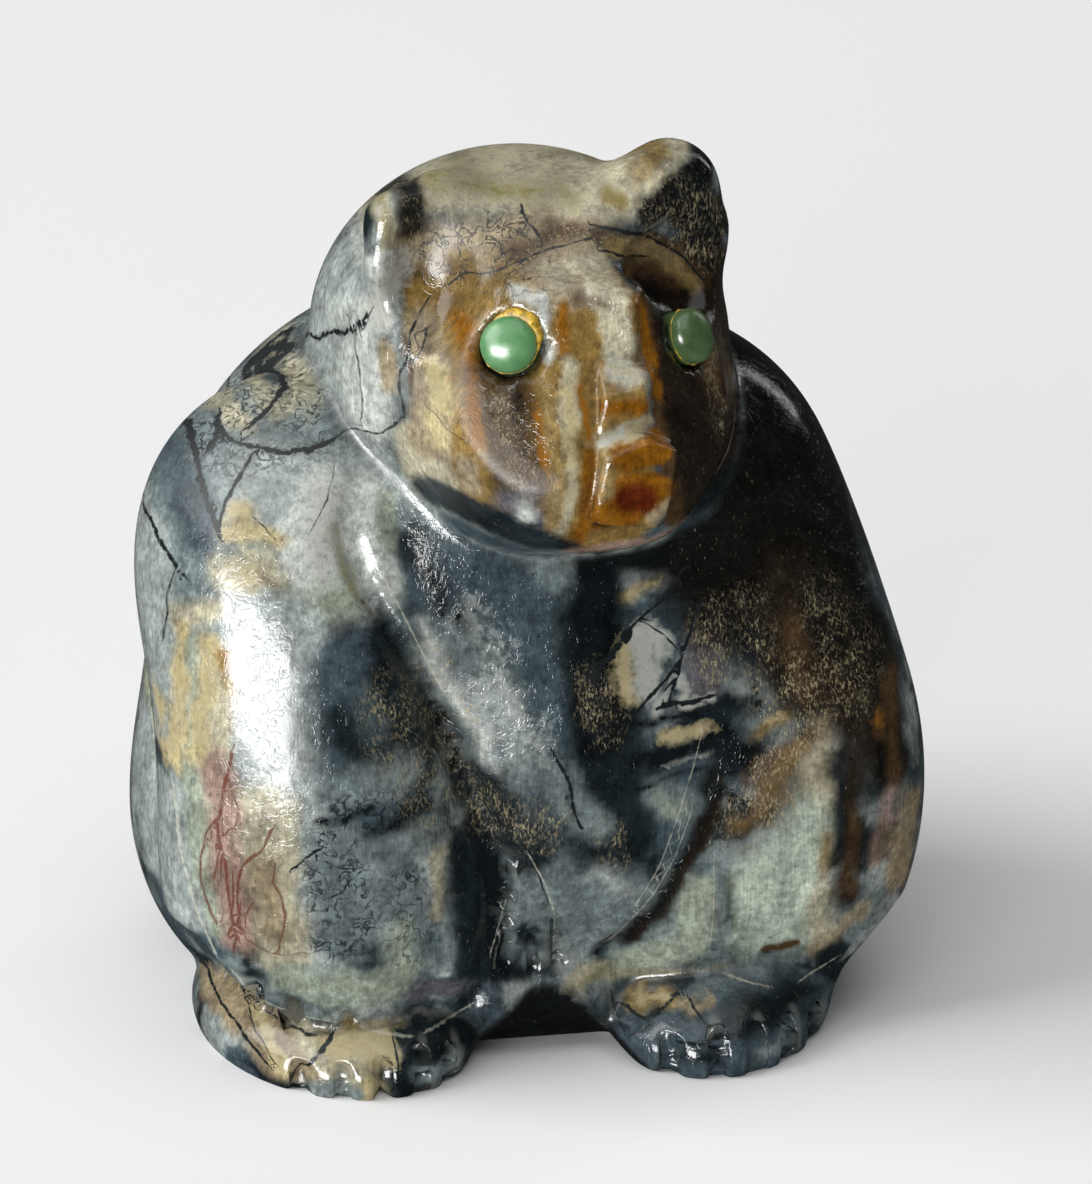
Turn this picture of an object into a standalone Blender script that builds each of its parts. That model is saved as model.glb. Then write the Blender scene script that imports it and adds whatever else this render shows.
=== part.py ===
"""Zuni bear fetish: a seated bear carved from one pebble of veined marble, with two inlaid turquoise eyes.

The bear faces -Y and stands on its feet and rump at z = 0. Sizes are in millimetres, and MM turns them
into Blender's metres. The pebble is roughed out from plain lumps (lobes), remeshed into one skin, and
that skin is then carved: each vertex is moved onto the smooth form that blends the lobes and cuts.
"""

import math
from collections import namedtuple

import bmesh
import bpy
import numpy as np
from mathutils import Matrix, Vector

MM = 0.001

# Each lobe is an ellipsoid: centre, radii and a turn about Z in degrees.
Lobe = namedtuple("Lobe", "centre radii yaw", defaults=(0.0,))

# ---- The trunk, in the bear's frame
TRUNK = Lobe((-0.2, 3.5, 16.0), (19.6, 16.5, 19.5))
SHOULDERS = Lobe((-2.2, 2.0, 25.5), (15.4, 12.5, 12.5))
BELLY = Lobe((0.6, -4.2, 14.0), (8.8, 9.8, 13.0))
WEB = Lobe((-0.8, -4.0, 2.0), (6.5, 9.6, 5.0))  # the stone between the feet
HAUNCHES = (Lobe((-12.9, 2.5, 9.0), (8.0, 12.5, 10.0)), Lobe((11.4, 4.5, 9.4), (7.6, 11.0, 9.4)))
THIGHS = (Lobe((-6.0, -4.6, 7.0), (6.6, 9.2, 7.6)), Lobe((6.6, -4.6, 8.6), (7.0, 9.0, 9.6)))
FEET = (Lobe((-11.2, -6.2, 0.8), (7.3, 10.4, 3.8), 10.0), Lobe((8.2, -7.4, 1.0), (6.6, 9.8, 3.8), -10.0))

# ---- The arms: a shoulder lump over a long mitten, cut off flat a little above the ground
UPPER_ARMS = (Lobe((-12.4, -2.4, 25.4), (8.3, 8.0, 9.0)), Lobe((8.2, -1.6, 25.4), (7.6, 7.6, 9.4)))
MITTENS = (Lobe((-11.8, -7.4, 11.0), (8.7, 8.0, 13.6)), Lobe((13.0, -5.9, 12.0), (7.1, 7.6, 12.2)))
PAW_UNDERSIDE = (2.5, 2.6)

# ---- The arch under the belly: two sloping walls that meet along a ridge between the feet
ARCH_MOUTH = (-1.4, -18.0, 5.2)
ARCH_END = (-0.6, -4.0, 3.2)
ARCH_SLOPE = 47.0
ARCH_BACK = (-10.0, 0.7)  # where it ends at the ground, and how much nearer for each millimetre up

# ---- The head, in its own frame: side (+ is the bear's left), forward, up
HEAD_CENTRE = (-0.5, -3.6, 35.2)
HEAD_YAW = 12.0
HEAD_ROLL = 4.0
SKULL = Lobe((0.0, -1.4, 0.6), (10.8, 11.0, 9.9))
JAW = Lobe((1.3, 3.6, -2.2), (8.2, 7.2, 6.2))
HEAD_FLATS = 10.1
EAR_ROLLS = (
    (((-5.8, 0.8, 8.4), 1.7), ((-8.3, 1.8, 7.8), 1.5), ((-9.2, 2.4, 6.0), 1.0)),
    (((1.8, 4.2, 8.0), 1.4), ((4.4, 3.0, 9.2), 1.9), ((6.4, 1.6, 9.0), 2.4), ((7.5, 0.8, 6.8), 2.6)),
)
EAR_HOLLOWS = (Lobe((-7.6, 5.8, 6.8), (2.2, 3.4, 4.2)), Lobe((6.0, 7.0, 6.4), (4.4, 3.0, 3.0), -20.0))
FACE_BALL = Lobe((0.0, 3.0, -1.0), (8.4, 12.0, 8.6))
# The flats that the face is ground to. Each cheek passes through an eye: this is the left one.
CHEEK_POINT = (4.8, 8.9, 3.4)
CHEEK_FACING = (0.52, 0.76, 0.40)
CHEEK_ROUND = 0.6
# The flats along the middle: a point on each, the way it faces and the rounding of its edge.
MIDDLE_FLATS = (
    ((0.3, 11.1, 2.0), (0.0, 0.90, 0.43), 0.4),
    ((0.0, 9.4, 5.4), (0.0, 0.50, 0.87), 1.0),
    ((0.0, 12.0, -6.8), (0.0, 0.30, -0.95), 1.2),
    ((0.0, 12.4, -6.0), (0.0, 0.95, -0.30), 1.0),
)
BROW = (((-4.4, 6.9, 5.3), 0.9), ((-2.0, 8.0, 5.2), 1.1), ((0.4, 8.6, 4.9), 1.4),
        ((2.4, 8.0, 5.2), 1.1), ((4.4, 6.9, 5.3), 0.9))
NOSE_CENTRE = (0.5, 12.3, -2.4)
NOSE_HALF = (1.95, 1.6, 2.4)
NOSE_EDGE = 0.4
NOSE_ROLL = 8.0
NOSE_ROOF = 20.0

# ---- The eyes: cabochons let into round sockets in the cheek flats
EYE_RADIUS = 1.4
EYE_DOME = 0.75
EYE_GIRDLE = 0.35
EYE_SEAT = 0.9
SOCKET_GAP = 0.3

# ---- Incised lines on the belly, as (x, z) points across the front
BELLY_LINES = (
    ((6.6, 18.0), (6.2, 16.9), (5.5, 13.9), (4.4, 11.2), (3.4, 9.0), (1.9, 7.4), (-0.3, 4.6)),
    ((-2.9, 11.6), (-2.5, 10.4), (-1.8, 8.6), (-1.4, 7.2), (-1.3, 4.6)),
)
LINE_DEPTH = 0.3
LINE_HALF_WIDTH = 0.7

# ---- Claw and toe notches: angle round the paw or foot in degrees from -Y, towards +X
PAW_NOTCHES = ((-42.0, -25.0, -6.0, 16.0), (-22.0, -8.0, 6.0))
PAW_NOTCH_SIZE = (0.9, 2.0, 1.5)
TOE_NOTCHES = ((-34.0, -17.0, 0.0, 16.0), (-26.0, -8.0, 12.0, 30.0))
TOE_NOTCH_SIZE = (0.7, 2.4, 3.0)

# ---- Skin resolution
ROUGH_VOXEL = 0.5
FACES_WANTED = 8000
CARVING_PASSES = 14
BELOW_GROUND = 1.0

STONE_COLOUR = (0.22, 0.25, 0.24)
TURQUOISE_COLOUR = (0.19, 0.47, 0.33)


def frame(yaw, roll=0.0):
    """Columns side, forward and up of something that faces -Y turned by yaw and tipped sideways by roll."""
    turn, tip = math.radians(yaw), math.radians(roll)
    side = np.array((math.cos(turn), math.sin(turn), 0.0))
    forward = np.array((math.sin(turn), -math.cos(turn), 0.0))
    up = np.array((0.0, 0.0, 1.0))
    return np.stack((side * math.cos(tip) - up * math.sin(tip), forward,
                     side * math.sin(tip) + up * math.cos(tip)), axis=1)


HEAD_FRAME = frame(HEAD_YAW, HEAD_ROLL)


# ---- Signed distances, in millimetres: negative inside the stone

def lobe_distance(points, lobe):
    local = points - np.array(lobe.centre)
    if lobe.yaw:
        local = local @ frame(lobe.yaw)
    radii = np.array(lobe.radii)
    reach = np.linalg.norm(local / radii, axis=-1)
    slope = np.linalg.norm(local / radii**2, axis=-1)
    return reach * (reach - 1.0) / np.maximum(slope, 1e-6)


def rod_distance(points, start, end, start_radius, end_radius):
    start, axis = np.array(start), np.array(end) - np.array(start)
    along = np.clip((points - start) @ axis / (axis @ axis), 0.0, 1.0)
    gap = np.linalg.norm(points - start - along[..., None] * axis, axis=-1)
    return gap - (start_radius + (end_radius - start_radius) * along)


def roll_distance(points, stations):
    """A bent roll through stations, each a point and the roll's radius there."""
    found = None
    for (start, start_radius), (end, end_radius) in zip(stations[:-1], stations[1:]):
        rod = rod_distance(points, start, end, start_radius, end_radius)
        found = rod if found is None else blend(found, rod, 1.0)
    return found


def plane_distance(points, point, facing):
    return (points - np.array(point)) @ (np.array(facing) / np.linalg.norm(facing))


def nose_distance(local):
    """A small square block tipped sideways, its top pitched like a shallow roof."""
    tip, pitch = math.radians(NOSE_ROLL), math.radians(NOSE_ROOF)
    side, forward, up = np.moveaxis(local - np.array(NOSE_CENTRE), -1, 0)
    side, up = side * math.cos(tip) - up * math.sin(tip), side * math.sin(tip) + up * math.cos(tip)
    over = np.abs(np.stack((side, forward, up), axis=-1)) - (np.array(NOSE_HALF) - NOSE_EDGE)
    block = np.linalg.norm(np.maximum(over, 0.0), axis=-1) + np.minimum(over.max(axis=-1), 0.0) - NOSE_EDGE
    roof = np.abs(side) * math.sin(pitch) + (up - NOSE_HALF[2]) * math.cos(pitch)
    return keep(block, roof, NOSE_EDGE)


def blend(a, b, width):
    """The two shapes together, with a fillet of this width in the crease."""
    near = np.maximum(width - np.abs(a - b), 0.0) / width
    return np.minimum(a, b) - near * near * width * 0.25


def keep(a, b, width):
    """What both shapes share, with the edge rounded over this width."""
    return -blend(-a, -b, width)


def line_distance(x, z, points):
    """Distance across the front, from (x, z) to an open line through points."""
    found = []
    for (x0, z0), (x1, z1) in zip(points[:-1], points[1:]):
        dx, dz = x1 - x0, z1 - z0
        along = np.clip(((x - x0) * dx + (z - z0) * dz) / (dx * dx + dz * dz), 0.0, 1.0)
        found.append(np.hypot(x - x0 - along * dx, z - z0 - along * dz))
    return np.minimum.reduce(found)


def mirrored(vector, side):
    """The vector as it stands for one side of the head: -1 is the bear's right, 1 its left."""
    return (side * vector[0], vector[1], vector[2])


def face_form(local):
    """The wedge of the face, ground to flats, with the brow and the square nose on it."""
    wedge = lobe_distance(local, FACE_BALL)
    for side in (-1, 1):
        cheek = plane_distance(local, mirrored(CHEEK_POINT, side), mirrored(CHEEK_FACING, side))
        wedge = keep(wedge, cheek, CHEEK_ROUND)
    for point, facing, width in MIDDLE_FLATS:
        wedge = keep(wedge, plane_distance(local, point, facing), width)
    wedge = blend(wedge, roll_distance(local, BROW), 0.8)
    return blend(wedge, nose_distance(local), 0.4)


def head_form(points):
    local = (points - np.array(HEAD_CENTRE)) @ HEAD_FRAME
    stone = blend(lobe_distance(local, SKULL), lobe_distance(local, JAW), 2.0)
    for stations in EAR_ROLLS:
        stone = blend(stone, roll_distance(local, stations), 2.0)
    stone = keep(stone, np.abs(local[..., 0]) - HEAD_FLATS, 0.6)
    stone = blend(stone, face_form(local), 1.2)
    for hollow in EAR_HOLLOWS:
        stone = keep(stone, -lobe_distance(local, hollow), 0.9)
    return stone


def arm_form(points, side):
    arm = blend(lobe_distance(points, UPPER_ARMS[side]), lobe_distance(points, MITTENS[side]),
                (8.0, 6.0)[side])
    return keep(arm, PAW_UNDERSIDE[side] - points[..., 2], 0.8)


def arch_form(points):
    """The hollow between the feet, closed at its inner end."""
    mouth, end = np.array(ARCH_MOUTH), np.array(ARCH_END)
    along = (points[..., 1:2] - mouth[1]) / (end[1] - mouth[1])
    offset = points - (mouth + along * (end - mouth))
    slope = math.radians(ARCH_SLOPE)
    height = offset[..., 2] * math.cos(slope)
    hollow = keep(height - offset[..., 0] * math.sin(slope), height + offset[..., 0] * math.sin(slope), 2.0)
    return keep(hollow, points[..., 1] - ARCH_BACK[0] + ARCH_BACK[1] * points[..., 2], 0.6)


def bear_form(points):
    """The whole carving. It runs on a little below the ground, where the flat base is sawn later."""
    stone = blend(lobe_distance(points, TRUNK), lobe_distance(points, SHOULDERS), 4.0)
    for lobe in HAUNCHES:
        stone = blend(stone, lobe_distance(points, lobe), 2.2)
    for lobe in THIGHS + (BELLY, WEB):
        stone = blend(stone, lobe_distance(points, lobe), 2.0)
    for lobe in FEET:
        stone = blend(stone, lobe_distance(points, lobe), 0.8)
    for side in range(2):
        stone = blend(stone, arm_form(points, side), (1.0, 4.0)[side])
    front = np.clip((-8.0 - points[..., 1]) / 2.0, 0.0, 1.0)
    for line in BELLY_LINES:
        across = line_distance(points[..., 0], points[..., 2], line) / LINE_HALF_WIDTH
        stone = stone + LINE_DEPTH * front * np.exp(-across * across)
    stone = keep(stone, -arch_form(points), 0.8)
    stone = blend(stone, head_form(points), 1.2)
    return keep(stone, -BELOW_GROUND - points[..., 2], 0.4)


# ---- Meshes

def clear_scene():
    for old in list(bpy.data.objects):
        bpy.data.objects.remove(old)


def new_object(name, mesh):
    obj = bpy.data.objects.new(name, mesh)
    bpy.context.scene.collection.objects.link(obj)
    return obj


def evaluated_mesh(obj):
    graph = bpy.context.evaluated_depsgraph_get()
    return bpy.data.meshes.new_from_object(obj.evaluated_get(graph))


def head_matrix():
    turn = Matrix([list(row) for row in HEAD_FRAME]).to_4x4()
    return Matrix.Translation(Vector(HEAD_CENTRE) * MM) @ turn


def add_lump(bm, centre, radii, matrix):
    size = Matrix.Diagonal((*(Vector(radii) * MM), 1.0))
    bmesh.ops.create_icosphere(bm, subdivisions=4, radius=1.0,
                               matrix=matrix @ Matrix.Translation(Vector(centre) * MM) @ size)


def rough_out():
    """The lumps of the form as plain ellipsoids, for the remesh to fuse into one skin."""
    bm = bmesh.new()
    world = Matrix.Identity(4)
    for lobe in (TRUNK, SHOULDERS, BELLY, WEB) + HAUNCHES + THIGHS + UPPER_ARMS + MITTENS:
        add_lump(bm, lobe.centre, lobe.radii, world)
    for lobe in FEET:
        turn = Matrix.Rotation(math.radians(lobe.yaw), 4, "Z")
        place = Matrix.Translation(Vector(lobe.centre) * MM) @ turn
        add_lump(bm, (0.0, 0.0, 0.0), lobe.radii, place)
    head = head_matrix()
    for lobe in (SKULL, JAW):
        add_lump(bm, lobe.centre, lobe.radii, head)
    for stations in EAR_ROLLS + (BROW, ((NOSE_CENTRE, max(NOSE_HALF)),)):
        for centre, radius in stations:
            add_lump(bm, centre, (radius,) * 3, head)
    mesh = bpy.data.meshes.new("rough_stone")
    bm.to_mesh(mesh)
    bm.free()
    rough = new_object("rough_stone", mesh)
    skin = rough.modifiers.new("Skin", "REMESH")
    skin.mode = "VOXEL"
    skin.voxel_size = ROUGH_VOXEL * MM
    fused = evaluated_mesh(rough)
    bpy.data.objects.remove(rough)
    return fused


def carve(mesh):
    """Moves each vertex onto the form, evening the spacing between passes."""
    count = len(mesh.vertices)
    points = np.empty(count * 3)
    mesh.vertices.foreach_get("co", points)
    points = points.reshape(-1, 3) / MM
    edges = np.empty(len(mesh.edges) * 2, np.int32)
    mesh.edges.foreach_get("vertices", edges)
    edges = edges.reshape(-1, 2)
    degree = np.bincount(edges.ravel(), minlength=count)[:, None]
    steps = np.eye(3) * 0.05
    for index in range(CARVING_PASSES):
        if index < CARVING_PASSES - 3:
            total = np.zeros_like(points)
            np.add.at(total, edges[:, 0], points[edges[:, 1]])
            np.add.at(total, edges[:, 1], points[edges[:, 0]])
            points += 0.5 * (total / degree - points)
        distance = bear_form(points)
        slope = np.stack([bear_form(points + step) - bear_form(points - step) for step in steps], axis=1)
        slope /= 0.1
        steep = np.maximum((slope * slope).sum(axis=1), 0.25)
        move = np.clip(distance / steep, -1.5, 1.5)
        points -= slope * move[:, None]
    mesh.vertices.foreach_set("co", (points * MM).ravel())
    mesh.update()


def thinned(mesh):
    """The carved skin with the triangles it doesn't need collapsed."""
    carved = new_object("carved_stone", mesh)
    thin = carved.modifiers.new("Thin", "DECIMATE")
    triangles = sum(len(polygon.vertices) - 2 for polygon in mesh.polygons)
    thin.ratio = FACES_WANTED / triangles
    result = evaluated_mesh(carved)
    bpy.data.objects.remove(carved)
    return result


def saw_base(bm):
    """Cuts the stone off flat at the ground and closes the cut."""
    whole = bm.verts[:] + bm.edges[:] + bm.faces[:]
    bmesh.ops.bisect_plane(bm, geom=whole, dist=1e-6, plane_co=(0.0, 0.0, 0.0), plane_no=(0.0, 0.0, 1.0),
                           clear_inner=True)
    rim = [edge for edge in bm.edges if edge.is_boundary]
    bmesh.ops.holes_fill(bm, edges=rim)
    bmesh.ops.recalc_face_normals(bm, faces=bm.faces[:])


def material(name, colour, roughness):
    made = bpy.data.materials.new(name)
    made.use_nodes = True
    shader = made.node_tree.nodes["Principled BSDF"]
    shader.inputs["Base Color"].default_value = (*colour, 1.0)
    shader.inputs["Roughness"].default_value = roughness
    shader.inputs["Metallic"].default_value = 0.0
    return made


def eye_matrix(side):
    """The place of an eye, its +Z pointing out along the dome's axis."""
    rest = Matrix.Translation(Vector(mirrored(CHEEK_POINT, side)) * MM)
    axis = Vector(mirrored(CHEEK_FACING, side)).normalized()
    return head_matrix() @ rest @ axis.to_track_quat("Z", "Y").to_matrix().to_4x4()


def build_eye(name, side):
    """A turned cabochon: flat back, short girdle and a dome."""
    bm = bmesh.new()
    steps = 8
    profile = [(0.0, -EYE_SEAT), (EYE_RADIUS, -EYE_SEAT)]
    for index in range(steps):
        angle = 0.5 * math.pi * index / steps
        profile.append((EYE_RADIUS * math.cos(angle), EYE_GIRDLE + EYE_DOME * math.sin(angle)))
    profile.append((0.0, EYE_GIRDLE + EYE_DOME))
    verts = [bm.verts.new((radius * MM, 0.0, height * MM)) for radius, height in profile]
    edges = [bm.edges.new(pair) for pair in zip(verts[:-1], verts[1:])]
    bmesh.ops.spin(bm, geom=verts + edges, cent=(0.0, 0.0, 0.0), axis=(0.0, 0.0, 1.0), angle=2.0 * math.pi,
                   steps=28, use_merge=True, use_duplicate=False)
    bmesh.ops.remove_doubles(bm, verts=bm.verts[:], dist=1e-6)
    bmesh.ops.recalc_face_normals(bm, faces=bm.faces[:])
    mesh = bpy.data.meshes.new(name)
    bm.to_mesh(mesh)
    bm.free()
    mesh.shade_smooth()
    mesh.set_sharp_from_angle(angle=math.radians(40.0))
    eye = new_object(name, mesh)
    eye.matrix_world = eye_matrix(side)
    return eye


def cutter(name, mesh, matrix):
    tool = new_object(name, mesh)
    tool.matrix_world = matrix
    tool.hide_render = True
    tool.display_type = "WIRE"
    return tool


def socket_cutter(name, side):
    bm = bmesh.new()
    height = 4.0
    bmesh.ops.create_cone(bm, cap_ends=True, segments=28, radius1=(EYE_RADIUS + SOCKET_GAP) * MM,
                          radius2=(EYE_RADIUS + SOCKET_GAP) * MM, depth=height * MM,
                          matrix=Matrix.Translation((0.0, 0.0, (0.5 * height - EYE_SEAT - SOCKET_GAP) * MM)))
    mesh = bpy.data.meshes.new(name)
    bm.to_mesh(mesh)
    bm.free()
    return cutter(name, mesh, eye_matrix(side))


def surface_reach(centre, direction):
    """How far the stone reaches from a point inside it, along a level direction."""
    reach = np.linspace(2.0, 16.0, 281)
    ray = np.array(centre) + reach[:, None] * np.array(direction)
    return float(reach[np.argmax(bear_form(ray) > 0.0)])


def notch_cutter(name, angles, centre, size):
    """Small blocks standing round a paw or a foot, each across its lower edge."""
    bm = bmesh.new()
    for degrees in angles:
        turn = math.radians(degrees)
        outward = (math.sin(turn), -math.cos(turn), 0.0)
        reach = surface_reach(centre, outward)
        place = Vector(centre) + Vector(outward) * reach
        spin = Matrix.Rotation(turn, 4, "Z")
        block = Matrix.Diagonal((*(Vector(size) * MM), 1.0))
        bmesh.ops.create_cube(bm, size=1.0, matrix=Matrix.Translation(place * MM) @ spin @ block)
    mesh = bpy.data.meshes.new(name)
    bm.to_mesh(mesh)
    bm.free()
    return cutter(name, mesh, Matrix.Identity(4))


def notch_cutters():
    tools = []
    for side, name in enumerate(("right", "left")):
        centre = MITTENS[side].centre
        level = PAW_UNDERSIDE[side]
        tools.append(notch_cutter(f"claw_cutter_{name}", PAW_NOTCHES[side],
                                  (centre[0], centre[1], level + 1.5), PAW_NOTCH_SIZE))
        centre = FEET[side].centre
        tools.append(notch_cutter(f"toe_cutter_{name}", TOE_NOTCHES[side],
                                  (centre[0], centre[1], 0.3), TOE_NOTCH_SIZE))
    return tools


def build_body(tools):
    mesh = rough_out()
    carve(mesh)
    mesh = thinned(mesh)
    bm = bmesh.new()
    bm.from_mesh(mesh)
    saw_base(bm)
    bm.to_mesh(mesh)
    bm.free()
    mesh.name = "bear_body"
    body = new_object("bear_body", mesh)
    for tool in tools:
        cut = body.modifiers.new(tool.name, "BOOLEAN")
        cut.operation = "DIFFERENCE"
        cut.solver = "EXACT"
        cut.object = tool
    finished = evaluated_mesh(body)
    body.modifiers.clear()
    body.data = finished
    for tool in tools:
        bpy.data.objects.remove(tool)
    finished.shade_smooth()
    finished.set_sharp_from_angle(angle=math.radians(40.0))
    return body


def centre_on_footprint(body, pieces):
    """Slides everything level, so that the origin is under the middle of the stone's outline."""
    corners = [vertex.co for vertex in body.data.vertices]
    middle = [0.5 * (min(c[axis] for c in corners) + max(c[axis] for c in corners)) for axis in range(2)]
    for piece in pieces:
        piece.location.x -= middle[0]
        piece.location.y -= middle[1]


def main():
    clear_scene()
    eyes = [build_eye("eye_right", -1), build_eye("eye_left", 1)]
    tools = [socket_cutter("socket_cutter_right", -1), socket_cutter("socket_cutter_left", 1)]
    body = build_body(tools + notch_cutters())
    body.data.materials.append(material("picasso_marble", STONE_COLOUR, 0.25))
    for eye in eyes:
        eye.data.materials.append(material("turquoise_" + eye.name, TURQUOISE_COLOUR, 0.2))
    centre_on_footprint(body, [body] + eyes)


main()
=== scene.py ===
"""Zuni bear fetish: a seated bear carved from one pebble of picasso marble, with turquoise cabochon eyes.

The bear faces -Y and sits on the ground at z = 0. Shapes are worked out in millimetres in the carver's own
frame, whose origin is under the bear's belly, and are moved to the frame of the model at the end.
The stone is fused from plain lumps, then carved: every vertex is moved onto the smooth form of the bear.
The veins and zones of the stone are laid on as attributes of its skin, and the material breaks them up.
"""

import math
from collections import namedtuple

import bmesh
import bpy
import numpy as np
from mathutils import Matrix, Vector, noise


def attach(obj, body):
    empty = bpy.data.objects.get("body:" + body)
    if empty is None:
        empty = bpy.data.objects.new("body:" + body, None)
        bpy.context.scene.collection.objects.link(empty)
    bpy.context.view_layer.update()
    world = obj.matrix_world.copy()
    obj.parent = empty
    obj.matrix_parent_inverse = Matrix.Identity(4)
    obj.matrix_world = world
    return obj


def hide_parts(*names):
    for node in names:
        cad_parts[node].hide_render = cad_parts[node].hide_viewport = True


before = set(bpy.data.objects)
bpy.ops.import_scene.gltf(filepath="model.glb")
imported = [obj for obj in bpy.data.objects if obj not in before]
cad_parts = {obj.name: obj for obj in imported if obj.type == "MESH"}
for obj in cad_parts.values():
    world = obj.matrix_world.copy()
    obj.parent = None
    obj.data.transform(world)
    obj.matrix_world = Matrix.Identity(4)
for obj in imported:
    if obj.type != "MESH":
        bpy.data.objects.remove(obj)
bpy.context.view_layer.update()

bl_info = {
    "name": "Zuni Bear Fetish",
    "version": (1, 0, 0),
    "blender": (4, 5, 0),
    "location": "View3D > Sidebar > Bear",
    "description": "Carves a marble bear fetish with turquoise eyes and sets it on a studio floor",
    "category": "Mesh",
}

MM = 0.001
NOISE_SEED = 5  # without a seed, the noise that pushes points would start from the time of day
# From the carver's frame to the model's, whose origin is under the middle of the stone's outline.
TO_MODEL = np.array((0.42, -1.21, 0.0))

# Each lobe is an ellipsoid: centre, radii and a turn about Z in degrees.
Lobe = namedtuple("Lobe", "centre radii yaw", defaults=(0.0,))

# ---- The trunk
TRUNK = Lobe((-0.2, 3.5, 16.0), (19.6, 16.5, 19.5))
SHOULDERS = Lobe((-2.2, 2.0, 25.5), (15.4, 12.5, 12.5))
BELLY = Lobe((0.6, -4.2, 14.0), (8.8, 9.8, 13.0))
WEB = Lobe((-0.8, -4.0, 2.0), (6.5, 9.6, 5.0))  # the stone between the feet
HAUNCHES = (Lobe((-12.9, 2.5, 9.0), (8.0, 12.5, 10.0)), Lobe((11.4, 4.5, 9.4), (7.6, 11.0, 9.4)))
THIGHS = (Lobe((-6.0, -4.6, 7.0), (6.6, 9.2, 7.6)), Lobe((6.6, -4.6, 8.6), (7.0, 9.0, 9.6)))
FEET = (Lobe((-11.2, -6.2, 0.8), (7.3, 10.4, 3.8), 10.0), Lobe((8.2, -7.4, 1.0), (6.6, 9.8, 3.8), -10.0))

# ---- The arms: a shoulder lump over a long mitten, and the height of the paw's underside along x
UPPER_ARMS = (Lobe((-12.4, -2.4, 25.4), (8.3, 8.0, 9.0)), Lobe((8.2, -1.6, 25.4), (7.6, 7.6, 9.4)))
MITTENS = (Lobe((-11.8, -7.4, 11.0), (8.7, 8.0, 13.6)), Lobe((13.0, -5.9, 12.0), (7.1, 7.6, 12.2)))
PAW_UNDERSIDES = (
    ((-19.0, 7.6), (-17.5, 5.8), (-16.2, 4.5), (-14.0, 3.7), (-12.0, 3.1), (-9.0, 2.5), (-6.0, 2.5),
     (-4.6, 3.2)),
    ((5.0, 3.4), (9.4, 3.2), (11.8, 2.9), (13.9, 3.3), (15.9, 4.3), (18.0, 6.0)),
)

PAW_GAP = 0.4  # between a paw and the foot under it

# ---- Widths of the fillets where lumps run into each other, and of the rounding where stone is cut away
SHOULDER_FILLET = 4.0
HAUNCH_FILLET = 2.2
THIGH_FILLET = 2.0
FOOT_FILLET = 0.6
ELBOW_FILLETS = (8.0, 6.0)  # the bear's right arm, then its left
ARM_CREASES = (0.5, 4.0)
NECK_FILLET = 0.7
HEAD_FILLET = 2.0
FACE_FILLET = 0.6
EAR_HOLLOW_EDGES = (1.0, 0.5)
PAW_EDGE = 0.4
FOOT_EDGE = 0.2
ARCH_EDGE = 0.8
BITE_EDGE = 0.15
TOE_END = 0.4
BASE_DEPTH = 1.0  # how far the stone runs on below the ground, until its base is sawn

# ---- The arch under the belly: two sloping walls that meet along a ridge between the feet
ARCH_MOUTH = (-1.4, -18.0, 5.2)
ARCH_END = (-0.6, -4.0, 3.2)
ARCH_SLOPE = 47.0
ARCH_RIDGE = 2.0  # rounding of the ridge
ARCH_BACK = (-10.0, 0.7)  # where it ends at the ground, and how much nearer for each millimetre up
ARCH_BACK_EDGE = 0.6

# ---- The head, in its own frame: side (+ is the bear's left), forward, up
HEAD_CENTRE = (-0.5, -3.6, 35.2)
HEAD_YAW = 12.0
HEAD_ROLL = 4.0
SKULL = Lobe((0.0, -1.4, 0.6), (10.8, 11.0, 9.9))
JAW = Lobe((1.3, 3.6, -2.2), (8.2, 7.2, 6.2))
HEAD_FLATS = 10.1  # the flats ground on both sides of the head, from its middle
EAR_ROLLS = (
    (((-5.8, 0.8, 8.4), 1.7), ((-8.3, 1.8, 7.8), 1.5), ((-9.2, 2.4, 6.0), 1.0)),
    (((1.8, 4.2, 8.0), 1.4), ((4.4, 3.0, 9.2), 1.9), ((6.4, 1.6, 9.0), 2.4), ((7.5, 0.8, 6.8), 2.6)),
)
EAR_HOLLOWS = (Lobe((-7.6, 5.8, 6.8), (2.2, 3.4, 4.2)), Lobe((6.0, 7.0, 6.4), (4.4, 3.0, 3.0), -20.0))
FACE_BALL = Lobe((0.0, 3.0, -1.0), (8.4, 12.0, 8.6))
# The left cheek's flat, where the eye sits: its middle, the way it faces and the rounding of its edge. The
# right one is its mirror image.
CHEEK_POINT = (4.8, 8.9, 3.4)
CHEEK_FACING = (0.52, 0.76, 0.40)
CHEEK_EDGE = 0.25
# The flats ground along the middle of the face: a point, the way it faces and the rounding of its edge.
MIDDLE_FLATS = (
    ((0.3, 11.1, 2.0), (0.0, 0.90, 0.43), 0.4),
    ((0.0, 9.4, 5.4), (0.0, 0.50, 0.87), 0.8),
    ((0.0, 12.0, -6.8), (0.0, 0.30, -0.95), 1.2),
    ((0.0, 12.4, -6.0), (0.0, 0.95, -0.30), 1.0),
)
BROW = (((-4.4, 6.9, 5.3), 0.9), ((-2.0, 8.0, 5.2), 1.1), ((0.4, 8.6, 4.9), 1.4),
        ((2.4, 8.0, 5.2), 1.1), ((4.4, 6.9, 5.3), 0.9))

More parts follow.
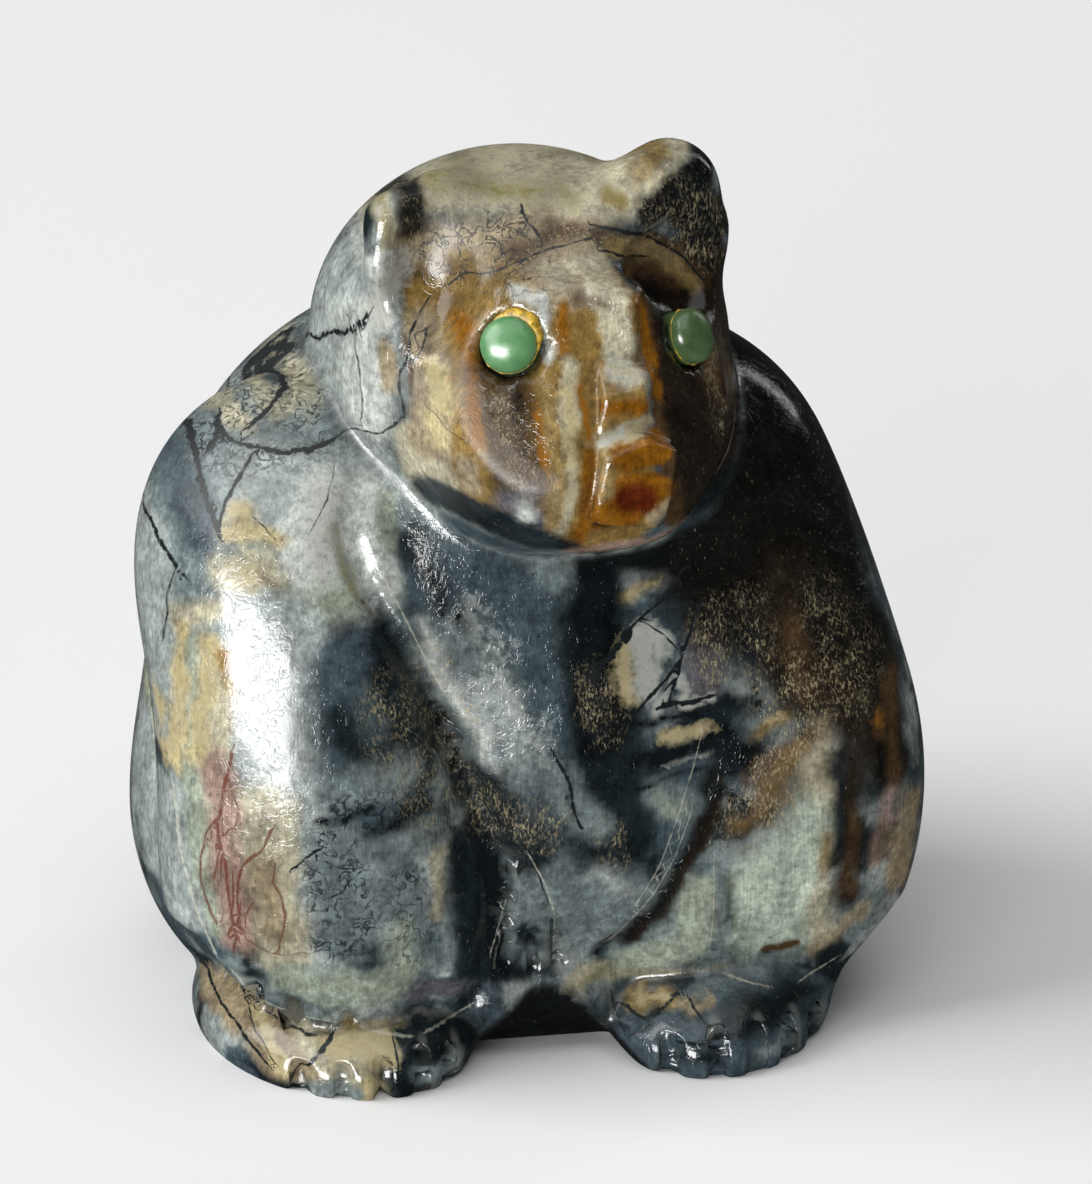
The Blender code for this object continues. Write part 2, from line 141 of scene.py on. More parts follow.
# The upper and lower bridge and the nose as small blocks: centre, half sizes, the rounding of their edges, a
# sideways tip in degrees, and the flats ground on them, each a point and the way it faces
Block = namedtuple("Block", "centre half edge tip flats")
BLOCKS = (
    Block((0.5, 9.0, 4.4), (1.5, 2.0, 2.1), 0.25, 4.0,
          (((1.1, 10.9, 4.0), (-0.46, 0.88, 0.10)), ((1.1, 10.9, 4.0), (0.85, 0.52, 0.05)),
           ((0.6, 10.2, 5.9), (0.0, 0.45, 0.89)))),
    Block((0.45, 10.5, 0.6), (1.5, 1.9, 2.2), 0.25, 6.0,
          (((0.4, 11.7, 2.3), (-0.12, 0.66, 0.74)), ((1.6, 12.0, 0.6), (0.75, 0.66, 0.0)))),
    Block((0.5, 12.3, -2.4), (1.95, 1.6, 2.4), 0.3, 8.0,
          (((0.5, 12.3, 0.0), (0.34, 0.12, 0.93)), ((0.5, 12.3, 0.0), (-0.34, 0.30, 0.90)))),
)
BLOCK_FILLET = 0.3
BROW_FILLET = 0.8

EYE_RADIUS = 1.4
EYE_SEAT = 0.9  # depth of the socket
EYE_BEVEL = 0.1  # at the cabochon's lower edge
EYE_GIRDLE = 0.35  # how far the cabochon's straight side stands out of the cheek
SOCKET_RADIUS = 1.6
SOCKET_FLOOR_EDGE = 0.2
SOCKET_LIP = 0.15

# ---- Engraved lines on the front: (x, z) points, depth and half width
Groove = namedtuple("Groove", "points depth half")
GROOVES = (
    Groove(((-10.2, 30.4), (-10.8, 28.3), (-10.2, 26.4), (-9.2, 24.2), (-8.1, 21.9), (-6.6, 18.8),
            (-5.4, 16.4), (-4.4, 13.6), (-3.8, 11.0), (-3.9, 8.2), (-4.4, 6.0), (-5.0, 3.9)), 0.75, 0.7),
    Groove(((7.4, 19.0), (6.3, 16.9), (5.6, 13.9), (4.4, 11.2), (3.4, 9.0), (1.9, 7.2), (-0.4, 4.8)),
           0.12, 0.35),
    Groove(((7.7, 16.6), (6.7, 13.2), (5.2, 10.4), (4.1, 8.3), (2.6, 6.4), (0.4, 4.4)), 0.1, 0.3),
    Groove(((-2.9, 12.0), (-2.2, 10.4), (-1.4, 9.0), (-0.6, 7.6), (-0.5, 4.8)), 0.5, 0.28),
    Groove(((-2.6, 9.6), (-2.0, 7.6), (-1.8, 4.8)), 0.35, 0.22),
    Groove(((-2.9, 14.2), (-3.1, 11.0), (-3.0, 8.0), (-3.4, 5.6)), 0.35, 0.3),
)

# ---- Bites sawn out of a paw's lower edge, as middle, height and half width, and grooves between the toes,
# as middle, top, half width and depth
Bite = namedtuple("Bite", "x tall half")
BITES = (
    (Bite(-16.3, 1.2, 0.40), Bite(-14.4, 1.1, 0.45), Bite(-11.6, 1.0, 0.45), Bite(-8.1, 1.0, 0.40)),
    (Bite(11.2, 0.6, 0.9),),
)
Toe = namedtuple("Toe", "x top half depth")
TOES = (
    Toe(-14.2, 1.5, 0.40, 0.9), Toe(-12.2, 1.7, 0.35, 0.9), Toe(-10.2, 1.9, 0.35, 1.1),
    Toe(-8.2, 2.1, 0.30, 1.1), Toe(-6.6, 1.8, 0.30, 1.0),
    Toe(4.8, 2.0, 0.40, 1.0), Toe(7.1, 2.4, 0.35, 1.2), Toe(9.2, 2.3, 0.35, 1.2),
    Toe(11.1, 2.2, 0.32, 1.1), Toe(12.9, 2.0, 0.3, 0.9),
)


def rows(kind, *values):
    """A table of one kind of record."""
    return tuple(kind(*row) for row in values)


# ---- The ground is slate, clouded with these in turn: stone, size of the clouds, where in the noise they
# start, the levels between which the stone comes in, and its share on the front and on the back
Cloud = namedtuple("Cloud", "stone size start low high front back")
CLOUDS = rows(
    Cloud,
    ("grey", 8.0, 1.0, -0.05, 0.3, 1.0, 1.0),
    ("blue", 5.0, 11.0, -0.05, 0.25, 1.0, 1.0),
    ("khaki", 6.5, 23.0, 0.15, 0.7, 0.0, 1.0),
    ("night", 4.0, 41.0, 0.15, 0.5, 1.0, 1.0),
    ("tan", 3.0, 57.0, 0.35, 0.8, 0.0, 0.7),
)
# Crisp spots on the sides and the back: stone, the number of the cloud that they follow, and the level that
# they start from
BACK_SPOTS = (("ink", 3, 0.62), ("cream", 2, 0.62), ("brown", 0, 0.85))

# ---- Zones of colour seen from the front, laid on in this order: stone, the (x, z) line that the zone
# follows, half its width and the width of its edge. A zone whose edge is much wider than itself only tints
# the ground, and a negative half width makes it fainter still.
Zone = namedtuple("Zone", "stone line half soft")
BODY_ZONES = rows(
    Zone,
    # The bear's right shoulder
    ("slate", ((-14.0, 34.0), (-16.5, 30.0)), 5.0, 3.0),
    ("khaki", ((-14.4, 34.3), (-12.0, 34.6)), 0.7, 1.2),
    ("khaki", ((-16.6, 33.6), (-15.6, 33.0)), 0.4, 0.8),
    ("night", ((-13.0, 36.6), (-12.2, 36.0)), 0.6, 0.8),
    ("blue", ((-15.0, 35.6), (-13.6, 34.9)), 0.6, 0.8),
    ("blue", ((-18.6, 31.5), (-18.3, 28.0)), 0.8, 1.2),
    ("grey", ((-15.2, 30.8), (-10.8, 30.6)), 1.6, 1.6),
    ("ash", ((-12.2, 30.4), (-11.4, 28.4)), 1.2, 1.4),
    ("grey", ((-20.6, 28.0), (-20.4, 18.0)), 0.9, 0.6),
    ("ash", ((-9.8, 30.0), (-9.0, 26.4)), 1.2, 1.0),
    ("ash", ((-12.8, 28.4), (-11.4, 24.6)), 1.6, 1.2),
    ("sage", ((-8.6, 30.0), (-8.4, 28.0)), 0.5, 0.8),
    ("cream", ((-16.2, 29.4), (-15.9, 28.6)), 0.5, 0.8),
    ("cream", ((-17.0, 28.5), (-14.4, 28.3)), 0.4, 0.7),
    ("khaki", ((-17.0, 26.9), (-14.6, 26.8)), 0.7, 0.9),
    # The bear's right arm, from the shoulder down
    ("sage", ((-15.0, 24.6), (-11.6, 25.6)), 1.3, 1.4),
    ("pink", ((-11.6, 23.8), (-10.6, 23.4)), 0.5, 0.8),
    ("grey", ((-14.8, 24.0), (-14.6, 16.5)), 2.4, 1.4),
    ("khaki", ((-19.4, 24.4), (-17.4, 25.0)), 0.6, 1.0),
    ("cream", ((-19.3, 24.0), (-19.6, 20.5), (-19.9, 16.5)), 0.35, 0.5),
    ("sage", ((-18.9, 23.4), (-19.2, 19.5), (-19.4, 12.0)), 0.25, 0.4),
    ("cream", ((-18.1, 23.2), (-18.5, 20.4), (-18.9, 17.0)), 0.55, 0.6),
    ("khaki", ((-17.4, 21.2), (-17.7, 17.4)), 0.7, 0.9),
    ("ochre", ((-17.6, 22.5), (-17.2, 21.2)), 0.35, 0.7),
    ("blue", ((-11.2, 22.2), (-10.6, 16.6)), 2.4, 1.4),
    ("night", ((-9.2, 23.0), (-8.2, 17.6)), 1.3, 1.6),
    ("night", ((-12.2, 20.4), (-10.6, 17.6)), 0.8, 1.4),
    ("slate", ((-12.6, 16.6), (-9.0, 17.0)), 0.8, 1.2),
    ("sage", ((-18.9, 16.0), (-18.7, 9.0)), 0.9, 1.0),
    ("pink", ((-17.7, 17.0), (-17.6, 8.4)), 0.9, 0.9),
    ("khaki", ((-15.8, 15.4), (-15.2, 8.2)), 1.3, 1.2),
    ("beige", ((-16.2, 12.4), (-15.6, 9.0)), 0.7, 1.0),
    ("slate", ((-12.2, 13.6), (-11.8, 9.2)), 1.4, 1.2),
    ("slate", ((-9.6, 13.8), (-7.6, 13.6)), 0.9, 1.2),
    ("slate", ((-9.4, 11.2), (-8.4, 6.0)), 1.5, 1.6),
    ("sage", ((-9.4, 8.2), (-8.6, 5.6)), 0.7, 1.4),
    ("sage", ((-14.4, 6.2), (-9.6, 5.2)), 1.0, 1.2),
    ("celadon", ((-13.4, 5.4), (-10.6, 4.6)), 0.5, 0.8),
    ("khaki", ((-6.9, 12.4), (-6.8, 9.4)), 0.4, 0.8),
    ("night", ((-5.2, 12.4), (-4.8, 5.0)), 1.0, 0.8),
    ("lilac", ((-8.0, 4.3), (-5.6, 4.4)), 0.5, 0.8),
    ("grey", ((-20.3, 15.0), (-19.9, 8.0)), 0.8, 0.6),
    ("blue", ((-19.6, 7.0), (-17.6, 4.4)), 0.7, 0.9),
    # The chest and the belly
    ("night", ((-7.0, 27.6), (-6.2, 24.4)), 1.0, 1.2),
    ("blue", ((-4.6, 26.6), (-1.6, 25.0)), 1.6, 1.6),
    ("slate", ((-1.6, 27.6), (-0.9, 25.8)), 0.6, 0.9),
    ("blue", ((-5.0, 25.0), (-3.0, 20.0), (-1.0, 15.0)), 3.2, 1.4),
    ("slate", ((-5.4, 23.4), (-4.2, 19.8), (-2.6, 17.0)), 1.3, 1.8),
    ("grey", ((-4.6, 20.8), (-3.4, 18.6), (-2.8, 17.4)), 0.4, 1.4),
    ("ash", ((-7.2, 23.8), (-5.8, 19.8), (-4.0, 16.6)), 0.28, 0.9),
    ("night", ((-0.4, 23.6), (0.6, 17.6)), 0.8, 1.4),
    ("night", ((1.6, 26.4), (1.8, 12.0)), 2.0, 1.6),
    ("ink", ((1.4, 25.6), (1.4, 18.2)), 1.4, 0.9),
    ("ink", ((2.6, 27.0), (6.0, 26.8)), 0.7, 1.2),
    ("night", ((-4.4, 15.2), (-2.0, 12.2)), 1.5, 1.4),
    ("night", ((-4.5, 13.4), (-3.6, 8.8), (-3.3, 5.0)), 0.6, 0.6),
    ("slate", ((-0.9, 16.6), (0.9, 13.0)), 0.7, 0.8),
    ("night", ((2.6, 16.8), (3.0, 12.8)), 0.8, 1.0),
    ("slate", ((-1.6, 9.8), (2.8, 9.4), (0.6, 6.6)), 1.2, 1.2),
    ("grey", ((1.0, 10.2), (2.6, 9.4)), 0.4, 0.8),
    ("night", ((-3.6, 5.2), (-1.6, 4.6)), 0.5, 0.8),
    ("slate", ((-3.4, 8.4), (-3.0, 6.2)), 0.4, 0.6),
    ("khaki", ((0.2, 4.0), (2.0, 4.8)), 0.45, 0.6),
    ("sage", ((6.6, 9.4), (5.8, 6.2), (3.4, 5.0)), 0.9, 1.2),
    ("sage", ((6.2, 8.8), (6.2, 6.0)), 0.6, 0.9),
    ("khaki", ((2.4, 4.4), (7.0, 4.4)), 0.3, 0.5),
    ("umber", ((7.8, 15.0), (6.6, 11.8), (5.1, 9.2), (3.2, 6.9)), 0.5, 0.6),
    ("slate", ((4.4, 14.6), (5.8, 13.6)), 0.9, 0.7),
    ("sage", ((4.6, 14.2), (5.4, 13.4)), 0.3, 0.8),
    ("lilac", ((6.9, 23.0), (7.0, 19.8)), 0.7, 0.8),
    # Ink under the head on the bear's left: dark stone with painted shade cast by the head.
    ("ink", ((4.8, 27.8), (7.4, 25.6)), 1.5, 1.6),
    ("tan", ((3.4, 24.6), (4.8, 25.2)), 0.25, 0.9),
    # The bear's left arm, from the shoulder down
    # Brown-black on the left shoulder and arm: dark stone with painted shade under the head and down the side
    # turned from the light.
    ("coal_and_shade", ((10.0, 31.0), (11.0, 26.0)), 6.0, 2.4),
    ("coal_and_shade", ((9.0, 25.0), (13.5, 20.0)), 2.6, 2.0),
    ("coal_and_shade", ((15.6, 24.0), (16.6, 19.0), (17.2, 14.6)), 1.6, 1.2),
    ("umber", ((11.6, 25.0), (11.4, 18.8)), 1.2, 2.6),
    ("umber", ((13.6, 20.0), (14.8, 17.0)), 1.2, 2.0),
    ("brown", ((12.2, 22.0), (12.6, 19.6)), 0.6, 1.6),
    ("ink", ((7.6, 16.8), (10.4, 14.8)), 1.0, 1.0),
    ("tan", ((9.7, 17.1), (10.8, 18.0)), 0.35, 0.9),
    ("beige", ((13.0, 17.6), (12.8, 13.6)), 0.3, 2.0),
    ("khaki", ((12.9, 16.0), (12.7, 13.0)), 0.5, 1.6),
    ("celadon", ((9.8, 9.6), (9.6, 6.4)), 1.5, 1.2),
    ("celadon", ((11.9, 12.4), (12.0, 6.4)), 1.4, 1.4),
    ("brown", ((10.2, 15.0), (12.4, 16.8)), 0.6, 1.0),
    ("honey", ((8.8, 12.8), (10.6, 14.2), (11.8, 15.8)), 0.4, 1.0),
    ("khaki", ((13.6, 8.6), (13.4, 5.8)), 0.6, 1.4),
    ("honey", ((13.0, 11.4), (13.4, 9.8)), 0.3, 1.2),
    ("umber", ((15.2, 15.6), (14.9, 11.6), (14.8, 8.0)), 0.7, 1.4),
    ("brown", ((15.0, 12.6), (14.9, 8.4)), 0.2, 1.2),
    ("brown", ((16.4, 17.4), (16.5, 16.4)), 0.35, 0.8),
    ("pink", ((17.0, 13.2), (16.6, 9.6)), 0.3, 1.2),
    ("brown", ((17.3, 18.8), (17.4, 14.0)), 0.5, 1.2),
    ("beige", ((18.3, 12.0), (18.0, 7.6)), 0.9, 1.0),
    ("beige", ((15.6, 7.0), (13.0, 4.8)), 0.3, 1.0),
    ("slate", ((7.6, 10.6), (7.5, 5.6)), 0.2, 0.4),
    ("beige", ((6.0, 4.4), (9.6, 4.5)), 0.15, 0.4),
)
FOOT_ZONES = rows(
    Zone,
    ("beige", ((-17.6, 3.2), (-14.0, 2.0)), 1.4, 0.8),
    ("honey", ((-18.0, 4.2), (-16.6, 4.0)), 0.4, 0.6),
    ("cream", ((-15.8, 2.6), (-14.8, 1.4)), 0.3, 0.7),
    ("khaki", ((-12.8, 2.2), (-9.8, 2.0)), 0.9, 0.6),
    ("ochre", ((-12.0, 3.1), (-8.8, 2.9)), 0.3, 0.5),
    ("cream", ((-10.9, 1.2), (-10.7, 0.4)), 0.5, 0.4),
    ("night", ((-8.8, 1.6), (-5.0, 2.0)), 1.6, 0.8),
    ("slate", ((-8.4, 0.9), (-6.0, 1.0)), 0.6, 0.6),
    ("pink", ((-7.4, 3.6), (-5.6, 3.8)), 0.3, 0.5),
    ("blue", ((3.0, 1.6), (13.0, 1.6)), 2.6, 1.2),
    ("night", ((8.0, 3.0), (13.0, 2.6)), 0.6, 1.2),
    ("night", ((5.6, 1.4), (7.4, 1.0)), 0.4, 0.9),
    ("slate", ((9.6, 1.0), (10.6, 1.2)), 0.4, 0.5),
    ("tan", ((3.0, 3.5), (5.0, 3.9)), 0.4, 0.5),
    ("beige", ((5.6, 3.7), (7.2, 3.9)), 0.2, 0.4),
)
HEAD_ZONES = rows(
    Zone,
    ("grey", ((-11.0, 40.0), (-10.6, 34.0)), 2.0, 2.0),
    ("ash", ((-9.6, 38.6), (-9.4, 33.6)), 0.8, 1.4),
    ("sage", ((-11.4, 43.6), (-11.0, 42.6)), 0.5, 0.8),
    # The crown, the ears and the forehead
    ("khaki", ((-6.0, 46.0), (3.0, 45.4)), 1.8, 1.2),
    ("khaki", ((-8.7, 46.0), (-8.4, 42.4)), 0.5, 0.5),
    ("beige", ((-7.0, 42.4), (-3.0, 42.6), (1.4, 43.4)), 1.3, 0.9),
    ("brown", ((-7.4, 40.6), (-5.2, 41.0)), 0.5, 0.8),
    ("brown", ((-3.4, 41.8), (-2.2, 42.6)), 0.6, 0.7),
    ("brown", ((-2.4, 42.4), (0.4, 43.2)), 0.4, 0.6),
    # A painted highlight: ash on the side of the head by the right ear.
    ("ash", ((-9.0, 41.6), (-8.2, 42.0)), 0.6, 0.7),
    # Brown-black in the right ear's hollow: dark stone with painted shade.
    ("coal_and_shade", ((-6.9, 46.0), (-7.2, 43.6)), 0.75, 0.5),
    ("khaki", ((1.0, 45.0), (3.4, 45.2), (6.8, 46.8)), 1.1, 0.5),
    ("tan", ((4.4, 45.6), (6.2, 46.4)), 0.4, 0.7),
    ("ochre", ((2.9, 44.7), (3.4, 44.6)), 0.3, 0.5),
    # Brown-black in the left ear's hollow and on the temple below it: dark stone with painted shade.
    ("coal_and_shade", ((5.0, 43.9), (8.2, 45.2)), 0.8, 0.3),
    ("coal_and_shade", ((6.9, 43.9), (9.0, 42.6)), 1.3, 0.5),
    ("coal_and_shade", ((7.8, 41.2), (9.2, 39.6)), 1.2, 0.5),
    # The face to the bear's right of the nose
    ("honey", ((-4.0, 39.0), (-3.6, 33.0)), 3.6, 0.7),
    ("honey", ((1.0, 40.0), (1.0, 30.4)), 2.4, 0.6),
    ("beige", ((-1.6, 41.2), (1.6, 41.8)), 1.0, 0.7),
    ("khaki", ((-0.8, 41.9), (2.0, 42.2)), 0.5, 0.6),
    ("beige", ((-8.7, 38.0), (-8.6, 36.0)), 0.35, 0.4),
    ("khaki", ((-7.4, 33.4), (-6.6, 31.2)), 1.0, 0.7),
    ("beige", ((-6.9, 38.6), (-6.9, 33.6)), 0.9, 0.5),
    ("cream", ((-6.7, 37.4), (-6.3, 36.0)), 0.55, 0.4),
    ("cream", ((-6.7, 35.0), (-6.5, 34.0)), 0.4, 0.5),
    ("beige", ((-5.4, 33.4), (-5.2, 32.0)), 0.4, 0.5),
    ("amber", ((-5.1, 39.4), (-4.9, 35.0)), 0.35, 0.6),
    ("brown", ((-3.5, 37.6), (-3.1, 33.2)), 1.3, 0.5),
    ("umber", ((-3.0, 37.0), (-2.8, 34.0)), 0.5, 0.7),
    ("lilac", ((-3.4, 31.8), (-2.6, 30.6)), 0.9, 0.9),
    ("ash", ((-3.0, 31.6), (-2.8, 30.8)), 0.3, 0.6),
    ("tan", ((-1.4, 37.0), (-1.5, 30.4)), 0.4, 0.4),
    # Ash along the brow ridge over the right eye and down beside the bridge is a painted highlight.
    ("ash", ((-2.8, 41.3), (-1.6, 41.0), (-1.5, 38.6)), 0.3, 0.4),
    ("amber", ((-0.5, 40.6), (-0.4, 38.8)), 0.3, 0.5),
    ("khaki", ((-0.1, 38.2), (-0.5, 35.6)), 0.45, 0.4),
    ("khaki", ((-0.5, 35.6), (-0.8, 32.0), (-1.1, 29.8)), 0.25, 0.35),
    ("cream", ((-0.3, 37.0), (-0.6, 34.0)), 0.25, 0.4),
    ("amber", ((0.3, 34.0), (-0.1, 29.6)), 0.35, 0.4),
    # The bridge, the nose and the dark left side of the face
    ("brown", ((4.2, 40.4), (4.7, 35.5), (4.9, 30.6)), 0.9, 0.5),
    ("khaki", ((1.0, 41.2), (2.4, 41.2)), 0.4, 0.5),
    ("khaki", ((1.8, 40.8), (2.3, 38.6)), 0.8, 0.45),
    ("amber", ((3.4, 41.0), (3.7, 38.6), (4.2, 36.2)), 0.28, 0.35),
    # Ash on the bridge's upward facet is a painted highlight.
    ("ash", ((1.9, 37.9), (2.9, 37.5)), 0.35, 0.4),
    ("amber", ((1.4, 36.3), (3.2, 36.1)), 0.4, 0.5),
    ("khaki", ((0.6, 34.6), (3.4, 35.3)), 0.32, 0.3),
    # Umber and brown-black on the left side of the face: dark stone painted darker as shade, that side being
    # turned from the light.
    ("umber", ((5.3, 40.4), (5.8, 36.0), (6.3, 31.4)), 1.2, 0.4),
    ("umber", ((6.6, 38.4), (7.4, 31.0)), 2.4, 0.6),
    ("umber", ((8.6, 39.6), (9.4, 34.0)), 1.4, 0.7),
    ("coal_and_shade", ((5.0, 39.6), (5.3, 38.0)), 0.5, 0.6),
    ("brown", ((7.4, 36.6), (8.6, 35.0)), 0.6, 1.2),
    ("tan", ((0.8, 34.6), (0.9, 31.6)), 0.35, 0.4),
    ("amber", ((2.0, 34.0), (3.8, 34.2)), 0.7, 0.4),
    ("amber", ((2.2, 32.4), (3.6, 32.0), (1.0, 31.0)), 0.9, 0.4),
    ("rust", ((1.9, 31.9), (2.8, 31.7)), 0.7, 0.6),
    ("beige", ((3.2, 30.8), (4.2, 31.4)), 0.25, 0.4),
    # The arcs over the left brow
    ("brown", ((-0.4, 43.4), (2.2, 43.1), (4.0, 42.5), (5.6, 41.8), (7.0, 40.9), (8.0, 39.6)), 0.38, 0.5),
    ("brown", ((3.8, 41.4), (5.2, 40.6), (6.4, 39.7)), 0.45, 0.4),
    ("tan", ((2.8, 42.7), (4.4, 42.1), (6.0, 40.9), (7.5, 39.5)), 0.45, 0.35),
    ("beige", ((-0.6, 42.5), (1.2, 42.9)), 0.4, 0.6),
    # A painted highlight: white on the side of the head by the right ear.
    ("white", ((-8.9, 39.4), (-7.8, 41.8)), 0.5, 0.8),
    # Under the jaw: the night bands are painted shade below its overhang
    ("night", ((-6.6, 30.8), (-4.6, 30.4), (-2.6, 29.6), (-0.8, 28.8)), 0.9, 0.5),
    ("blue", ((-5.4, 28.8), (-1.0, 27.6)), 0.7, 0.8),
    ("pink", ((-0.2, 28.5), (4.0, 28.9), (6.0, 29.6)), 0.4, 0.6),
    ("night", ((7.0, 28.8), (9.4, 30.0)), 0.6, 0.8),
)

# ---- Crisp marks, whose edges the material breaks up: the same rows, where the marks of one stone are pooled
SPREAD = 4.0  # how far, in steps of its own softness, a mark's level is kept
CRISP_STONES = ("ink", "brown", "amber", "cream", "white", "olive")
BODY_MARKS = rows(
    Zone,
    ("ink", ((-13.3, 14.9), (-12.2, 15.2), (-10.6, 15.7)), 0.22, 0.3),
    ("ink", ((-10.6, 14.4), (-8.6, 15.2)), 0.35, 0.6),
    ("ink", ((-8.7, 23.2), (-7.8, 20.6), (-7.2, 17.4)), 0.3, 0.5),
    ("ink", ((-6.9, 18.6), (-5.6, 15.6)), 0.6, 0.6),
    ("ink", ((-4.6, 13.4), (-3.7, 8.8), (-3.4, 5.2)), 0.5, 0.4),
    ("ink", ((-9.6, 25.2), (-8.4, 22.6), (-6.6, 18.6)), 0.12, 0.3),
    ("ink", ((-6.8, 27.2), (-6.2, 25.2)), 0.6, 0.8),
    ("ink", ((-5.2, 24.8), (-4.9, 23.8)), 0.3, 0.7),
    ("white", ((-4.8, 25.0), (-3.6, 20.4), (-1.4, 17.0)), -0.3, 2.2),
    ("ink", ((1.4, 25.0), (1.2, 21.2), (1.0, 18.4)), 0.8, 0.6),
    ("ink", ((3.0, 27.2), (5.4, 26.8)), 0.5, 0.8),
    ("ink", ((2.0, 18.9), (4.4, 18.7), (8.4, 18.8)), 0.2, 0.3),
    ("ink", ((3.0, 16.6), (8.4, 16.4)), 0.35, 0.4),
    ("ink", ((3.4, 15.2), (8.8, 15.0)), 0.15, 0.3),
    ("ink", ((7.4, 14.2), (9.0, 13.4)), 0.4, 0.5),
    ("ink", ((-0.6, 17.4), (0.3, 13.6)), 0.14, 0.3),
    ("ink", ((7.8, 16.0), (6.7, 12.6), (5.3, 9.9), (3.8, 7.7), (1.8, 5.7)), 0.2, 0.35),
    ("ink", ((9.0, 22.0), (9.4, 18.6)), 0.5, 1.0),
    ("ink", ((12.8, 19.4), (13.0, 18.4)), 0.3, 1.0),
    ("cream", ((3.2, 22.0), (2.9, 20.2)), 0.65, 0.6),
    ("white", ((4.4, 22.4), (4.0, 20.6)), 0.8, 0.5),
    ("white", ((5.2, 22.2), (5.3, 21.4)), 0.45, 0.4),
    ("white", ((5.1, 20.0), (4.7, 19.3)), 0.35, 0.3),
    ("white", ((5.8, 20.4), (6.1, 19.3), (7.2, 19.2)), 0.28, 0.25),
    ("cream", ((3.6, 24.6), (5.0, 25.2)), 0.15, 0.5),
    ("cream", ((5.2, 17.5), (7.0, 17.4)), 0.45, 0.4),
    ("white", ((4.6, 16.0), (7.2, 15.9)), 0.08, 0.4),
    ("cream", ((9.8, 17.4), (10.8, 18.1)), 0.14, 0.5),
    ("cream", ((-16.3, 29.6), (-16.0, 28.7)), 0.25, 0.4),
    ("cream", ((-17.0, 28.5), (-14.6, 28.4)), 0.18, 0.4),
    ("cream", ((-16.6, 27.0), (-15.4, 26.9)), 0.3, 0.7),
    ("cream", ((-19.4, 23.6), (-19.7, 20.0), (-20.0, 17.2)), 0.14, 0.4),
    ("cream", ((-18.2, 22.8), (-18.6, 20.0), (-18.8, 18.0)), 0.24, 0.4),
    ("amber", ((-17.7, 22.6), (-17.5, 22.2)), 0.2, 0.5),
    ("brown", ((-15.0, 26.9), (-14.4, 26.5)), 0.15, 0.5),
    ("white", ((-12.4, 30.4), (-12.2, 27.0)), 0.3, 1.4),
    ("olive", ((-11.6, 28.8), (-10.9, 27.0), (-10.3, 25.6)), 0.12, 0.5),
    ("brown", ((-10.4, 25.6), (-9.9, 24.6)), 0.14, 0.4),
    ("olive", ((2.4, 4.9), (1.2, 4.1), (0.4, 3.7)), 0.16, 0.3),
    ("amber", ((16.4, 17.4), (16.5, 16.9)), 0.15, 0.7),
    ("brown", ((9.0, 12.6), (11.4, 15.0)), 0.5, 1.4),
    ("brown", ((10.6, 5.0), (11.8, 5.3)), 0.3, 0.25),
    ("ink", ((10.0, 4.5), (10.8, 4.7)), 0.08, 0.2),
)
FOOT_MARKS = rows(
    Zone,
    ("cream", ((-16.2, 2.8), (-14.8, 1.6)), 0.35, 0.5),
    ("cream", ((-12.4, 2.3), (-10.0, 2.2)), 0.55, 0.4),
    ("cream", ((-10.9, 1.3), (-10.7, 0.3)), 0.3, 0.3),
    ("ink", ((-9.6, 1.0), (-9.2, 0.2)), 0.25, 0.3),
    ("ink", ((-8.0, 3.0), (-7.8, 1.0)), 0.2, 0.4),
    ("ink", ((-6.8, 2.2), (-5.2, 2.4)), 0.5, 0.6),
    ("ink", ((9.0, 2.6), (12.4, 2.4)), 0.3, 0.5),
    ("cream", ((3.2, 3.6), (4.8, 3.9)), 0.18, 0.3),
    ("olive", ((-11.6, 3.1), (-8.8, 2.9)), 0.12, 0.3),
    ("brown", ((-13.2, 3.6), (-9.0, 3.3)), 0.14, 0.4),
)
